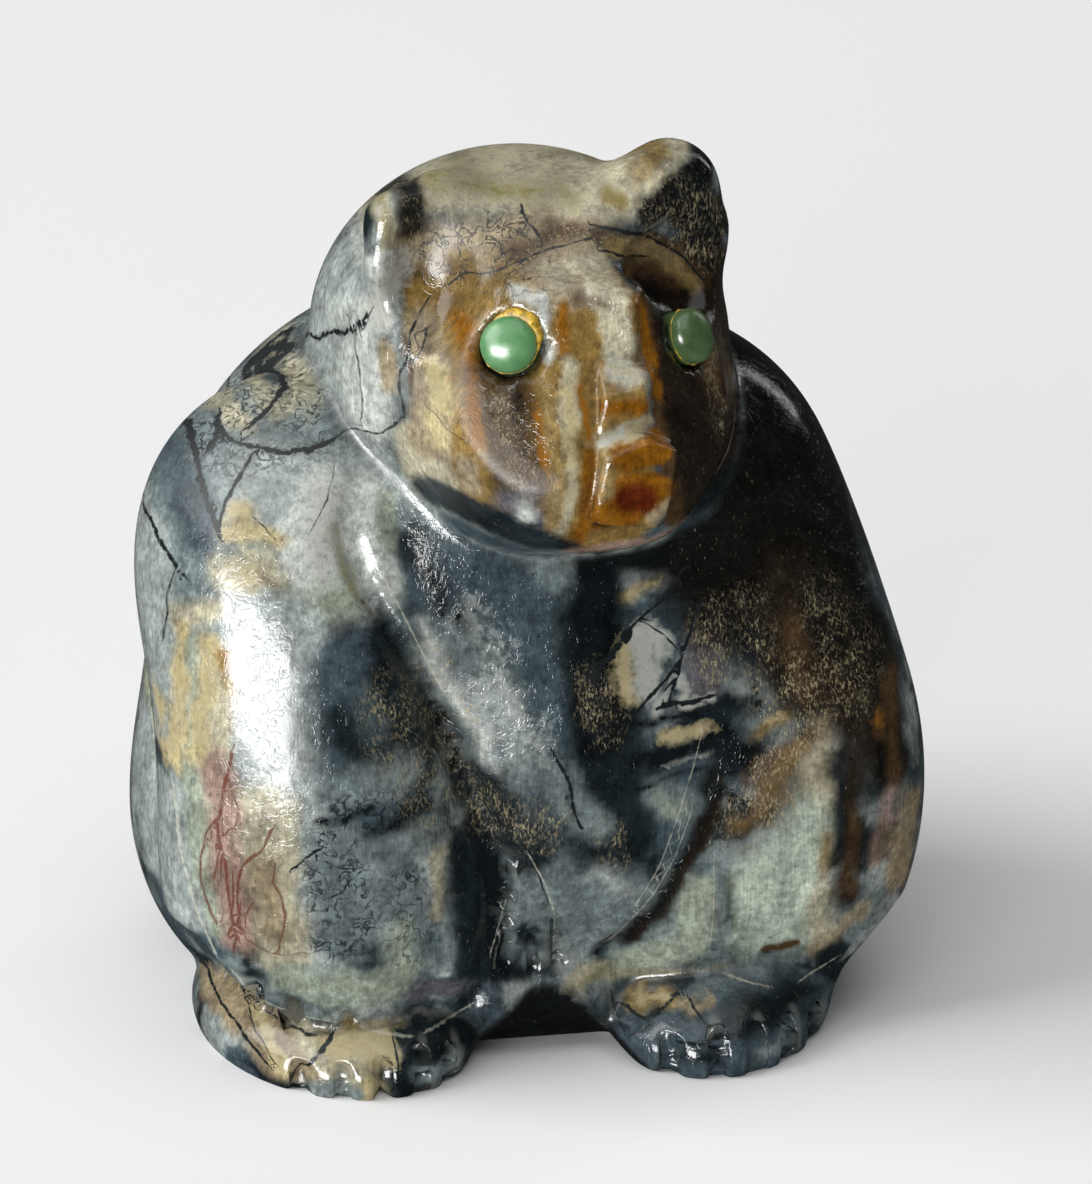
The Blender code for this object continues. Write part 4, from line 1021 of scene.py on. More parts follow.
def paint(mesh, colours):
    """Lays colour, crisp marks, texture, veins, pale lines of painted highlight, and how hollow and how
    raised the skin is, for painted shade in the hollows and rubbed edges, on every vertex as attributes for
    the material.
    """
    points = vectors_of(mesh.vertices, "co") / MM
    normals = vectors_of(mesh.vertex_normals, "vector")
    stones = {name: np.array(getattr(colours, name)) for name in colours.__annotations__}

    # How far each point belongs to the front of the head, of a foot and of the rest.
    head, feet = head_form(points), feet_form(points)
    body = np.minimum(body_form(points), np.minimum(arm_form(points, 0), arm_form(points, 1)))
    on_head = ramp(np.minimum(body, feet) - head, -0.4, 0.4)
    on_foot = ramp(np.minimum(body, head) - feet, -0.25, 0.25) * ramp(-points[:, 2], -5.5, -4.5)
    front_of_head, front = ramp(-points[:, 1], -4.0, 1.0), ramp(-points[:, 1], -8.0, -2.0)
    parts = (
        (BODY_ZONES, BODY_MARKS, BODY_TEXTURES, front * (1.0 - on_head) * (1.0 - on_foot)),
        (FOOT_ZONES, FOOT_MARKS, (), front * on_foot),
        (HEAD_ZONES, HEAD_MARKS, HEAD_TEXTURES, front_of_head * on_head),
    )
    back = 1.0 - sum(share for *_, share in parts)

    # The zones' outlines waver, and less so on the head.
    push = warp(points, 4.6, 0.75, 3.0) + warp(points, 1.5, 0.4, 7.0)
    pushed = points + push * (1.0 - 0.6 * on_head)[:, None] + warp(points, 0.6, 0.18, 29.0)
    x, z = pushed[:, 0], pushed[:, 2]

    clouds = [cloud(pushed, kind.size, kind.start) for kind in CLOUDS]
    colour = np.tile(stones["slate"], (len(points), 1))
    for kind, field in zip(CLOUDS, clouds):
        share = kind.front + (kind.back - kind.front) * back
        colour += (ramp(field, kind.low, kind.high) * share)[:, None] * (stones[kind.stone] - colour)
    crisp = {stone: np.full(len(points), -SPREAD) for stone in CRISP_STONES}
    worked = np.zeros((len(points), len(TEXTURES)))
    for zones, marks, textures, share in parts:
        for zone in zones:
            mask = (ramp(zone_level(x, z, zone), -0.5, 0.5) * share)[:, None]
            colour += mask * (stones[zone.stone] - colour)
        for zone in marks:
            level = zone_level(x, z, zone) - OFF_SHARE * (1.0 - share)
            crisp[zone.stone] = np.maximum(crisp[zone.stone], level)
        for zone in textures:
            column = TEXTURES.index(zone.stone)
            mask = ramp(zone_level(x, z, zone), -0.5, 0.5) * share
            worked[:, column] = np.maximum(worked[:, column], mask)
    for stone, index, start in BACK_SPOTS:
        crisp[stone] = np.maximum(crisp[stone], 3.0 * (clouds[index] - start) - OFF_SHARE * (1.0 - back))

    # The arch is painted ink all over: painted shade in the hollow between the feet.
    under = ramp(-arch_form(points), -0.7, -0.25)
    colour += under[:, None] * (stones["ink"] - colour)
    levels = np.clip(np.stack([crisp[stone] for stone in CRISP_STONES], axis=1), -SPREAD, SPREAD)
    add_attribute(mesh, "stone_colour", colour)
    add_attribute(mesh, "dark_zones", levels[:, :3])
    add_attribute(mesh, "light_zones", levels[:, 3:] - SPREAD * under[:, None])
    add_attribute(mesh, "texture_zones", worked)

    # Black and red veins waver. The pale lines, painted highlights along edges and the lips of grooves, run
    # straight.
    wavering = points + warp(points, 1.8, 0.22, 17.0) + warp(points, 0.6, 0.08, 19.0)
    for name, veins, course in (("black_veins", BLACK_VEINS, wavering), ("red_veins", RED_VEINS, wavering),
                                ("pale_veins", PAINTED_HIGHLIGHT_LINES, points)):
        add_attribute(mesh, name, vein_field(course[:, 0], course[:, 2], veins, front))

    # How hollow and how raised the stone is within 0.7 mm: the material paints shade and grime into the
    # hollows, and lightens the raised edges as rubbed.
    hollow = np.clip(1.0 - bear_form(points + 0.7 * normals) / 0.7, 0.0, 1.0)
    ridge = np.clip(1.0 + bear_form(points - 0.7 * normals) / 0.7, 0.0, 1.0)
    add_attribute(mesh, "wear", np.stack((hollow, ridge, back), axis=1))


# ---- Materials

def node(tree, kind, inputs=None, **settings):
    """Adds one node with its settings. Inputs are values for its sockets, or the sockets that feed them."""
    made = tree.nodes.new("ShaderNode" + kind)
    for name, value in settings.items():
        setattr(made, name, value)
    for socket, value in (inputs or {}).items():
        if isinstance(value, bpy.types.NodeSocket):
            tree.links.new(value, made.inputs[socket])
        else:
            made.inputs[socket].default_value = value
    return made


def per_metre(millimetres):
    """A texture's scale for features of this size."""
    return 1.0 / (millimetres * MM)


def new_material(name):
    """An empty material, its nodes and the place on the object that its patterns start from."""
    made = bpy.data.materials.new(name)
    made.use_nodes = True
    made.node_tree.nodes.clear()
    return made, made.node_tree, node(made.node_tree, "TexCoord").outputs["Object"]


# Each crisp stone as two colours that its own mottling runs between, in the order they cover each other.
CRISP_COLOURS = {
    "olive": ("#565232", "#8A8354"),
    "cream": ("#8A7E5C", "#BDB28C"),
    "brown": ("#2C2114", "#5C462A"),
    "amber": ("#5E3A0C", "#A06A18"),
    "white": ("#8E918A", "#B6B8B0"),
    "ink": ("#06090A", "#161C1F"),
}


def picasso_marble():
    """Picasso marble, a metamorphosed limestone, tumbled and polished: a cool grey ground clouded with cream
    and tan, ink-black veins of iron and manganese, and a wax-like polish that is duller in the hollows."""
    made, tree, place = new_material("picasso_marble_polished")
    fields = {name: node(tree, "Attribute", attribute_name=name).outputs["Vector"]
              for name in ("stone_colour", "dark_zones", "light_zones", "texture_zones", "black_veins",
                           "red_veins", "pale_veins", "wear")}
    split = {name: node(tree, "SeparateXYZ", {0: field}).outputs for name, field in fields.items()
             if name != "stone_colour"}
    flecked, dusty, matte = split["texture_zones"]
    hollow, ridge, back = split["wear"]

    # Noise by its size in millimetres: clouds and grain mottle the stone, curls crease it, drifts gather the
    # dust in its pits and waves are left by the polisher.
    clouds, grain, curls, drifts, waves = (
        node(tree, "TexNoise", {"Vector": place, "Scale": per_metre(size), "Detail": detail,
                                "Roughness": roughness, "Distortion": distortion}).outputs["Fac"]
        for size, detail, roughness, distortion in (
            (2.0, 6.0, 0.65, 0.0), (0.4, 4.0, 0.6, 0.0), (0.75, 3.0, 0.5, 1.0), (0.9, 5.0, 0.7, 0.0),
            (3.2, 2.0, 0.5, 0.0)))
    # Fine polishing scratches, 0.1 mm across and about 2 mm long, run down the stone.
    long_way = node(tree, "Mapping", {"Vector": place, "Rotation": (0.1, 0.35, 0.0),
                                      "Scale": (per_metre(0.12), per_metre(0.12), per_metre(2.2))}).outputs[0]
    scratch = node(tree, "TexNoise", {"Vector": long_way, "Scale": 1.0, "Detail": 3.0}).outputs["Fac"]
    brightness, *others = (
        node(tree, "MapRange", {"Value": field, "From Min": 0.3, "From Max": 0.7, "To Min": darkest,
                                "To Max": brightest}).outputs[0]
        for field, darkest, brightest in ((clouds, 0.5, 1.45), (grain, 0.62, 1.38), (scratch, 0.82, 1.18)))
    for other in others:
        brightness = node(tree, "Math", {0: brightness, 1: other}, operation="MULTIPLY").outputs[0]
    colour = node(tree, "VectorMath", {0: fields["stone_colour"], "Scale": brightness},
                  operation="SCALE").outputs[0]

    # Crisp marks, their edges broken up by the clouds and the grain.
    coarse_edge = node(tree, "Math", {0: clouds, 1: 2.4, 2: -1.2}, operation="MULTIPLY_ADD").outputs[0]
    edge = node(tree, "Math", {0: grain, 1: 2.0, 2: -1.0}, operation="MULTIPLY_ADD").outputs[0]
    edge = node(tree, "Math", {0: edge, 1: coarse_edge}, operation="ADD").outputs[0]
    levels = dict(zip(CRISP_STONES, split["dark_zones"][:3] + split["light_zones"][:3]))
    for stone, (deep, pale) in CRISP_COLOURS.items():
        own = node(tree, "Mix", {0: clouds, 6: (*linear(deep), 1.0), 7: (*linear(pale), 1.0)},
                   data_type="RGBA").outputs[2]
        level = node(tree, "Math", {0: levels[stone], 1: edge}, operation="ADD").outputs[0]
        mask = node(tree, "MapRange", {"Value": level, "From Min": -0.5, "From Max": 0.6}).outputs[0]
        colour = node(tree, "Mix", {0: mask, 6: colour, 7: own}, data_type="RGBA").outputs[2]

    # Creases: short curling lines about 0.15 mm wide, in drifts, dark where the stone is flecked.
    curl = node(tree, "Math", {0: curls, 1: 0.5}, operation="SUBTRACT").outputs[0]
    curl = node(tree, "Math", {0: curl}, operation="ABSOLUTE").outputs[0]
    curl = node(tree, "MapRange", {"Value": curl, "From Min": 0.05, "From Max": 0.015}).outputs[0]
    gathered = node(tree, "MapRange", {"Value": clouds, "From Min": 0.4, "From Max": 0.52}).outputs[0]
    crease = node(tree, "Math", {0: curl, 1: gathered}, operation="MULTIPLY").outputs[0]
    stained = node(tree, "MapRange", {"Value": flecked, "To Min": 0.1, "To Max": 0.9}).outputs[0]
    stained = node(tree, "Math", {0: crease, 1: stained}, operation="MULTIPLY").outputs[0]

    # Pale dust in fine pits: grains about 0.1 mm wide and 0.25 mm tall.
    shifted = node(tree, "Mapping", {"Vector": place, "Location": (13.0, 27.0, 41.0),
                                     "Scale": (per_metre(0.12), per_metre(0.12), per_metre(0.3))}).outputs[0]
    pit = node(tree, "TexNoise", {"Vector": shifted, "Scale": 1.0, "Detail": 3.0, "Roughness": 0.7,
                                  "Distortion": 0.6}).outputs["Fac"]
    dust = node(tree, "MapRange", {"Value": pit, "From Min": 0.5, "From Max": 0.62, "To Max": 0.9}).outputs[0]
    patch = node(tree, "MapRange", {"Value": drifts, "From Min": 0.4, "From Max": 0.58}).outputs[0]
    dust = node(tree, "Math", {0: dust, 1: patch}, operation="MULTIPLY").outputs[0]
    dust = node(tree, "Math", {0: dust, 1: dusty}, operation="MULTIPLY").outputs[0]

    # Open pores all over: some packed with pale polish, others dark.
    packed, empty = (
        node(tree, "MapRange", {"Value": pit, "From Min": none, "From Max": full, "To Max": 0.5}).outputs[0]
        for none, full in ((0.66, 0.74), (0.38, 0.3)))

    # Hairline cracks round the sides and back, in cells of about 8 mm.
    bend = node(tree, "VectorMath", {0: node(tree, "TexNoise", {"Vector": place, "Scale": per_metre(3.0),
                                                               "Detail": 3.0}).outputs["Color"],
                                     "Scale": 0.004}, operation="SCALE").outputs[0]
    bent = node(tree, "VectorMath", {0: place, 1: bend}, operation="ADD").outputs[0]
    crack = node(tree, "TexVoronoi", {"Vector": bent, "Scale": per_metre(9.0)},
                 feature="DISTANCE_TO_EDGE").outputs["Distance"]
    crack_width = node(tree, "MapRange", {"Value": clouds, "From Min": 0.42, "From Max": 0.7, "To Min": 0.0,
                                          "To Max": 0.03}).outputs[0]
    crack = node(tree, "Math", {0: crack_width, 1: crack}, operation="SUBTRACT").outputs[0]
    crack = node(tree, "MapRange", {"Value": crack, "From Min": 0.0, "From Max": 0.006}).outputs[0]
    crack = node(tree, "Math", {0: crack, 1: back}, operation="MULTIPLY").outputs[0]

    # Veins that swell and thin. Beyond 0.2 mm the plain distance takes over, so that no line is drawn where
    # the signed one changes from vein to vein.
    swelling = node(tree, "MapRange", {"Value": grain, "From Min": 0.3, "From Max": 0.7, "To Min": 0.3,
                                       "To Max": 1.7}).outputs[0]
    veins = []
    for name in ("black_veins", "red_veins", "pale_veins"):
        signed, gap, half = split[name]
        line = node(tree, "Math", {0: signed}, operation="ABSOLUTE").outputs[0]
        guard = node(tree, "Math", {0: gap, 1: 0.2}, operation="SUBTRACT").outputs[0]
        line = node(tree, "Math", {0: line, 1: guard}, operation="MAXIMUM").outputs[0]
        width = node(tree, "Math", {0: half, 1: swelling}, operation="MULTIPLY").outputs[0]
        inside = node(tree, "Math", {0: width, 1: line}, operation="SUBTRACT").outputs[0]
        mask = node(tree, "MapRange", {"Value": inside, "From Min": -0.01, "From Max": 0.05})
        veins.append(mask.outputs[0])
    black = node(tree, "Math", {0: veins[0], 1: crack}, operation="MAXIMUM").outputs[0]
    red = node(tree, "Math", {0: veins[1], 1: 0.8}, operation="MULTIPLY").outputs[0]
    # The pale lines are painted highlights along edges and the lips of grooves.
    pale = node(tree, "Math", {0: veins[2], 1: 0.5}, operation="MULTIPLY").outputs[0]

    # Painted shade and grime darken the hollows, and handling bleaches the edges.
    shade_and_dirt, rub = (
        node(tree, "MapRange", {"Value": field, "From Min": none, "From Max": full,
                                "To Max": most}).outputs[0]
        for field, none, full, most in ((hollow, 0.15, 0.8, 0.75), (ridge, 0.35, 0.9, 0.16)))
    for mask, tint in ((stained, "#182023"), (dust, "#9C9070"), (packed, "#A8A38C"), (empty, "#101416"),
                       (black, "#1C2021"), (red, "#5C2C20"), (pale, "#C4C2B0"), (shade_and_dirt, "#1B1D1A"),
                       (rub, "#B9BBAE")):
        colour = node(tree, "Mix", {0: mask, 6: colour, 7: (*linear(tint), 1.0)}, data_type="RGBA").outputs[2]

    # The polish: nearly a mirror, duller on matte ground, in hollows, in dust and along the scratches.
    rough = node(tree, "MapRange", {"Value": clouds, "From Min": 0.3, "From Max": 0.7, "To Min": 0.04,
                                    "To Max": 0.1}).outputs[0]
    duller = node(tree, "Math", {0: matte, 1: 1.7}, operation="MULTIPLY").outputs[0]
    for field in (hollow, dusty):
        duller = node(tree, "Math", {0: duller, 1: field}, operation="MAXIMUM").outputs[0]
    for field, share in ((duller, 0.22), (scratch, 0.06)):
        rough = node(tree, "Math", {0: field, 1: share, 2: rough}, operation="MULTIPLY_ADD").outputs[0]

    # Relief in millimetres: the polisher's soft waves, then scratches and grain, and the sunken creases.
    relief = node(tree, "Bump", {"Height": waves, "Distance": 0.06 * MM, "Strength": 1.0}).outputs[0]
    for field, height, sunken in ((scratch, 0.005, False), (grain, 0.008, False), (crease, 0.007, True)):
        relief = node(tree, "Bump", {"Height": field, "Distance": height * MM, "Strength": 1.0,
                                     "Normal": relief}, invert=sunken).outputs[0]
    shader = node(tree, "BsdfPrincipled", {"Base Color": colour, "Roughness": rough, "Metallic": 0.0,
                                           "IOR": 1.4, "Normal": relief})
    node(tree, "OutputMaterial", {"Surface": shader.outputs[0]})
    return made


def turquoise(name, deep, pale):
    """Pale green turquoise, cut as cabochons and buffed: an even mint body with milky clouds."""
    made, tree, place = new_material(name)
    milk = node(tree, "TexNoise", {"Vector": place, "Scale": per_metre(1.4), "Detail": 5.0}).outputs["Fac"]
    grain = node(tree, "TexNoise", {"Vector": place, "Scale": per_metre(0.25), "Detail": 3.0}).outputs["Fac"]
    share = node(tree, "MapRange", {"Value": milk, "From Min": 0.35, "From Max": 0.65}).outputs[0]
    colour = node(tree, "Mix", {0: share, 6: (*deep, 1.0), 7: (*pale, 1.0)},
                  data_type="RGBA").outputs[2]
    speck = node(tree, "MapRange", {"Value": grain, "From Min": 0.66, "From Max": 0.72,
                                    "To Max": 0.5}).outputs[0]
    colour = node(tree, "Mix", {0: speck, 6: colour, 7: (*linear("#6F8F6A"), 1.0)},
                  data_type="RGBA").outputs[2]
    rough = node(tree, "MapRange", {"Value": grain, "From Min": 0.3, "From Max": 0.7, "To Min": 0.24,
                                    "To Max": 0.36}).outputs[0]
    relief = node(tree, "Bump", {"Height": milk, "Distance": 0.01 * MM, "Strength": 1.0}).outputs[0]
    shader = node(tree, "BsdfPrincipled", {"Base Color": colour, "Roughness": rough, "Metallic": 0.0,
                                           "IOR": 1.61, "Normal": relief})
    node(tree, "OutputMaterial", {"Surface": shader.outputs[0]})
    return made


def setting_cement(dark, pale):
    """The yellow resin cement that the eyes are set in, squeezed out and left rough: granular and dull."""
    made, tree, place = new_material("setting_cement")
    grain = node(tree, "TexNoise", {"Vector": place, "Scale": per_metre(0.3), "Detail": 4.0,
                                    "Roughness": 0.7}).outputs["Fac"]
    share = node(tree, "MapRange", {"Value": grain, "From Min": 0.4, "From Max": 0.62}).outputs[0]
    colour = node(tree, "Mix", {0: share, 6: (*dark, 1.0), 7: (*pale, 1.0)}, data_type="RGBA").outputs[2]
    relief = node(tree, "Bump", {"Height": grain, "Distance": 0.05 * MM, "Strength": 1.0}).outputs[0]
    shader = node(tree, "BsdfPrincipled", {"Base Color": colour, "Roughness": 0.4, "Metallic": 0.0,
                                           "IOR": 1.5, "Normal": relief})
    node(tree, "OutputMaterial", {"Surface": shader.outputs[0]})
    return made


def floor_board(colour):
    """A sheet of matt white board: an even pale ground with a barely seen tooth."""
    made, tree, place = new_material("white_board")
    tooth = node(tree, "TexNoise", {"Vector": place, "Scale": per_metre(1.5), "Detail": 2.0}).outputs["Fac"]
    relief = node(tree, "Bump", {"Height": tooth, "Distance": 0.005 * MM, "Strength": 1.0}).outputs[0]
    shader = node(tree, "BsdfPrincipled", {"Base Color": (*colour, 1.0), "Roughness": 0.9, "Metallic": 0.0,
                                           "IOR": 1.45, "Specular IOR Level": 0.2, "Normal": relief})
    node(tree, "OutputMaterial", {"Surface": shader.outputs[0]})
    return made


# ---- What a user may change

def colour_property(name, description, hex_value):
    return bpy.props.FloatVectorProperty(name=name, description=description, subtype="COLOR", size=3, min=0.0,
                                         max=1.0, default=linear(hex_value))


def length_property(name, description, default, least, most):
    return bpy.props.FloatProperty(name=name, description=description, default=default, min=least, max=most,
                                   precision=5, unit="LENGTH")


def power_property(name, description, watts):
    return bpy.props.FloatProperty(name=name, description=description, default=watts, min=0.0, unit="POWER")


class BearSizes(bpy.types.PropertyGroup):
    """Sizes of the carving and its eyes."""

    grid: length_property("Grid", "Spacing of the skin before it is halved", 0.00067, 0.0003, 0.002)
    eye_radius: length_property("Eye radius", "Radius of each cabochon", EYE_RADIUS * MM, 0.0005, 0.003)
    eye_dome: length_property("Eye dome", "Height of the dome above its girdle", 0.00075, 0.0001, 0.002)
    bead: length_property("Cement bead", "Thickness of the cement round an eye", 0.00009, 0.00002, 0.0005)


class StoneColours(bpy.types.PropertyGroup):
    """Colours of the stone's broad zones, the eyes and their cement."""

    slate: colour_property("Slate", "The cool grey ground", "#687373")
    blue: colour_property("Blue", "Deep blue-grey clouds", "#3E4B50")
    night: colour_property("Night", "Blue-black of the chest and the arm", "#182124")
    # Brown-black stone, also standing in for painted shade on the bear's left side, under its head and in the
    # ear hollows.
    coal_and_shade: colour_property("Coal", "Brown-black of the left shoulder", "#131210")
    grey: colour_property("Grey", "Light grey clouds", "#8E9693")
    ash: colour_property("Ash", "The palest grey", "#B1B5AF")
    sage: colour_property("Sage", "Grey-green", "#909989")
    celadon: colour_property("Celadon", "Pale green of the left paw", "#9BA697")
    khaki: colour_property("Khaki", "Olive-cream of the crown", "#A49F87")
    beige: colour_property("Beige", "Beige of the forehead", "#8C7F66")
    tan: colour_property("Tan", "Tan of the right forearm", "#857148")
    cream: colour_property("Cream", "Cream patches", "#B6A87E")
    ochre: colour_property("Ochre", "Yellow ochre spots", "#96762C")
    honey: colour_property("Honey", "Honey brown of the face", "#7C6436")
    amber: colour_property("Amber", "Orange-brown of the nose", "#7E5010")
    rust: colour_property("Rust", "Red-brown", "#521F0A")
    brown: colour_property("Brown", "Brown streaks", "#4A3824")
    # Umber also stands in for painted shade on the left side of the face.
    umber: colour_property("Umber", "Dark olive-brown of the left side", "#241D15")
    pink: colour_property("Pink", "Brownish pink", "#8C766A")
    lilac: colour_property("Lilac", "Grey lilac", "#5B595E")
    ink: colour_property("Ink", "Near black", "#0B0F11")
    white: colour_property("White", "Off white", "#B4B5AC")
    eye_deep: colour_property("Eye, deep", "Darker green of the turquoise", "#528654")
    eye_pale: colour_property("Eye, pale", "Milky green of the turquoise", "#6DA36C")
    # The left eye's colours are a darker copy of the right's, as painted shade: that eye is on the side
    # turned from the light.
    dark_eye_deep: colour_property("Left eye, deep", "Darker green of the left turquoise", "#3E5431")
    dark_eye_pale: colour_property("Left eye, pale", "Milky green of the left turquoise", "#567046")
    cement: colour_property("Cement", "Yellow of the cement", "#E8C02C")
    cement_dark: colour_property("Cement, dark", "Stained cement", "#8A6A1C")


class StageSettings(bpy.types.PropertyGroup):
    """The floor, the lights and the camera."""

    floor: colour_property("Floor", "Colour of the board under the bear", "#F0F0F0")
    window: power_property("Window", "Power of the window at the front right of the bear", 49.0)
    glint: power_property("Glint", "Power that the window adds to reflections only", 260.0)
    side: power_property("Side", "Power of the broad light at the bear's right", 80.0)
    top: power_property("Top", "Power of the soft light overhead", 50.0)
    rim: power_property("Rim", "Power of the strip behind the bear's left", 6.0)
    sky: bpy.props.FloatProperty(name="Sky", description="Brightness of the room", default=0.025, min=0.0)
    azimuth: bpy.props.FloatProperty(name="Azimuth", description="Camera's turn round the bear",
                                     default=math.radians(-10.0), unit="ROTATION")
    elevation: bpy.props.FloatProperty(name="Elevation", description="Camera's height above the ground",
                                       default=math.radians(20.0), unit="ROTATION")
    distance: length_property("Distance", "Camera to the middle of the bear", 0.29, 0.05, 10.0)
    lens: bpy.props.FloatProperty(name="Lens", description="Focal length", default=167.5, min=20.0,
                                  unit="CAMERA")


# ---- Operators

class BEAR_OT_carve_body(bpy.types.Operator):
    """Carve the bear's body from fused lumps and lay the stone's veins on it"""

    bl_idname = "bear.carve_body"
    bl_label = "Carve the Body"

    def execute(self, context):
        sizes = context.scene.bear_sizes
        noise.seed_set(NOISE_SEED)
        mesh = rough_out(sizes.grid / MM * (1.0))
        carve(mesh, 6, 2, fine=False)
        refine(mesh, lambda middle: True)
        carve(mesh, 1, 1, fine=True)
        refine(mesh, close_up)
        carve(mesh, 0, 2, fine=True)
        saw_base(mesh)
        paint(mesh, context.scene.bear_colours)
        mesh.transform(model_matrix())
        mesh.shade_smooth()
        mesh.name = "bear_stone"
        mesh.materials.append(picasso_marble())
        body = object_of("bear_stone", mesh)
        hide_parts("bear_body")
        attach(body, "root")
        return {"FINISHED"}


def eye_matrix(side):
    """The place of an eye in the model, its +Z pointing out along the dome's axis."""
    rest = Matrix.Translation(Vector(mirrored(CHEEK_POINT, side)) * MM)
    axis = Vector(mirrored(CHEEK_FACING, side)).normalized()
    return model_matrix() @ head_matrix() @ rest @ axis.to_track_quat("Z", "Y").to_matrix().to_4x4()


def seat(bm, side):
    """Moves a piece from its own axis to an eye. The head's frame mirrors it, so its faces are turned out."""
    bm.transform(eye_matrix(side))
    bm.normal_update()
    bmesh.ops.recalc_face_normals(bm, faces=bm.faces[:])


def spun(profile, steps):
    """A closed solid of revolution about Z from (radius, height) points that start and end on the axis."""
    bm = bmesh.new()
    verts = [bm.verts.new((radius, 0.0, height)) for radius, height in profile]
    edges = [bm.edges.new(pair) for pair in zip(verts[:-1], verts[1:])]
    bmesh.ops.spin(bm, geom=verts + edges, cent=(0.0, 0.0, 0.0), axis=(0.0, 0.0, 1.0), angle=2.0 * math.pi,
                   steps=steps, use_merge=True, use_duplicate=False)
    bmesh.ops.remove_doubles(bm, verts=bm.verts[:], dist=1e-7)
    return bm


class BEAR_OT_set_eyes(bpy.types.Operator):
    """Turn the two turquoise cabochons and set them in their sockets"""

    bl_idname = "bear.set_eyes"
    bl_label = "Set the Eyes"

    def execute(self, context):
        sizes, colours = context.scene.bear_sizes, context.scene.bear_colours
        radius, girdle, steps = sizes.eye_radius, EYE_GIRDLE * MM, 20
        noise.seed_set(NOISE_SEED)
        # The left eye takes the darker colours, painted shade for the side of the face turned from the light.
        for name, side, deep, pale in (("eye_right", -1, colours.eye_deep, colours.eye_pale),
                                       ("eye_left", 1, colours.dark_eye_deep, colours.dark_eye_pale)):
            stone = turquoise("turquoise_buffed_" + name, deep, pale)
            profile = [(0.0, -EYE_SEAT * MM), (radius - EYE_BEVEL * MM, -EYE_SEAT * MM),
                       (radius, -(EYE_SEAT - EYE_BEVEL) * MM)]
            for index in range(steps):
                angle = 0.5 * math.pi * index / steps
                profile.append((radius * math.cos(angle), girdle + sizes.eye_dome * math.sin(angle)))
            profile.append((0.0, girdle + sizes.eye_dome))
            bm = spun(profile, 72)
            for vert in bm.verts:
                uneven = noise.noise_vector(vert.co / (1.3 * MM) + Vector((side, 2.0, 5.0)))
                vert.co += uneven * 0.03 * MM
            seat(bm, side)
            mesh = mesh_of(name + "_cabochon", bm, stone)
            mesh.shade_smooth()
            eye = object_of(name + "_cabochon", mesh)
            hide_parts(name)
            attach(eye, "root")
        return {"FINISHED"}


class BEAR_OT_lay_cement(bpy.types.Operator):
    """Squeeze a thin uneven bead of cement out round each eye"""

    bl_idname = "bear.lay_cement"
    bl_label = "Lay the Cement"

    def execute(self, context):
        sizes, colours = context.scene.bear_sizes, context.scene.bear_colours
        cement = setting_cement(colours.cement_dark, colours.cement)
        for name, side, thick_at, thickest in (("eye_right", -1, 115.0, 4.5), ("eye_left", 1, 250.0, 0.3)):
            bm = bmesh.new()
            bmesh.ops.create_circle(bm, segments=12, radius=1.0,
                                    matrix=Matrix.Rotation(math.radians(90.0), 4, "X"))
            bmesh.ops.translate(bm, verts=bm.verts[:], vec=(10.0, 0.0, 0.0))
            bmesh.ops.spin(bm, geom=bm.verts[:] + bm.edges[:], cent=(0.0, 0.0, 0.0), axis=(0.0, 0.0, 1.0),
                           angle=2.0 * math.pi, steps=96, use_merge=True, use_duplicate=False)
            bmesh.ops.remove_doubles(bm, verts=bm.verts[:], dist=1e-5)
            for vert in bm.verts:
                turn = math.atan2(vert.co.y, vert.co.x)
                away = math.hypot(vert.co.x, vert.co.y) - 10.0
                crescent = max(0.0, math.cos(turn - math.radians(thick_at))) ** 2
                uneven = noise.noise(Vector((math.cos(turn), math.sin(turn), side)) * 4.0)
                thick = sizes.bead * max(0.15, 0.15 + thickest * crescent + 0.8 * uneven)
                reach = sizes.eye_radius + 0.4 * thick + away * thick
                vert.co = Vector((reach * math.cos(turn), reach * math.sin(turn), vert.co.z * thick))
            seat(bm, side)
            mesh = mesh_of(name + "_cement", bm, cement)
            mesh.shade_smooth()
            bead = object_of(name + "_cement", mesh)
            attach(bead, "root")
        return {"FINISHED"}


def from_bearing(azimuth, elevation):
    """The direction from the bear towards something at this bearing: 0 is straight ahead of it."""
    return Vector((math.sin(azimuth) * math.cos(elevation), -math.cos(azimuth) * math.cos(elevation),
                   math.sin(elevation)))


# The middle of the bear, and the small offset along the camera's right and up that frames it.
AIM = Vector((TO_MODEL[0], TO_MODEL[1], 22.0)) * MM
FRAMING = (1.05, -0.885)

# Each light: its setting, its bearing and height, the width and height that it has as seen from the bear, all
# in degrees, and whether it lights the bear and whether the polish mirrors it. The lights stand well back, so
# that the floor is evenly lit.
Light = namedtuple("Light", "name azimuth elevation wide tall lights shines", defaults=(True, True))
LIGHTS = (
    Light("window", -32.0, 9.0, 36.0, 18.0, True, False),
    Light("glint", -47.0, 8.0, 44.0, 20.0, False, True),
    Light("side", -92.0, 38.0, 42.0, 36.0),
    Light("top", 0.0, 82.0, 60.0, 60.0),
    Light("rim", 125.0, 24.0, 8.0, 30.0),
)
LIGHT_DISTANCE = 3.0


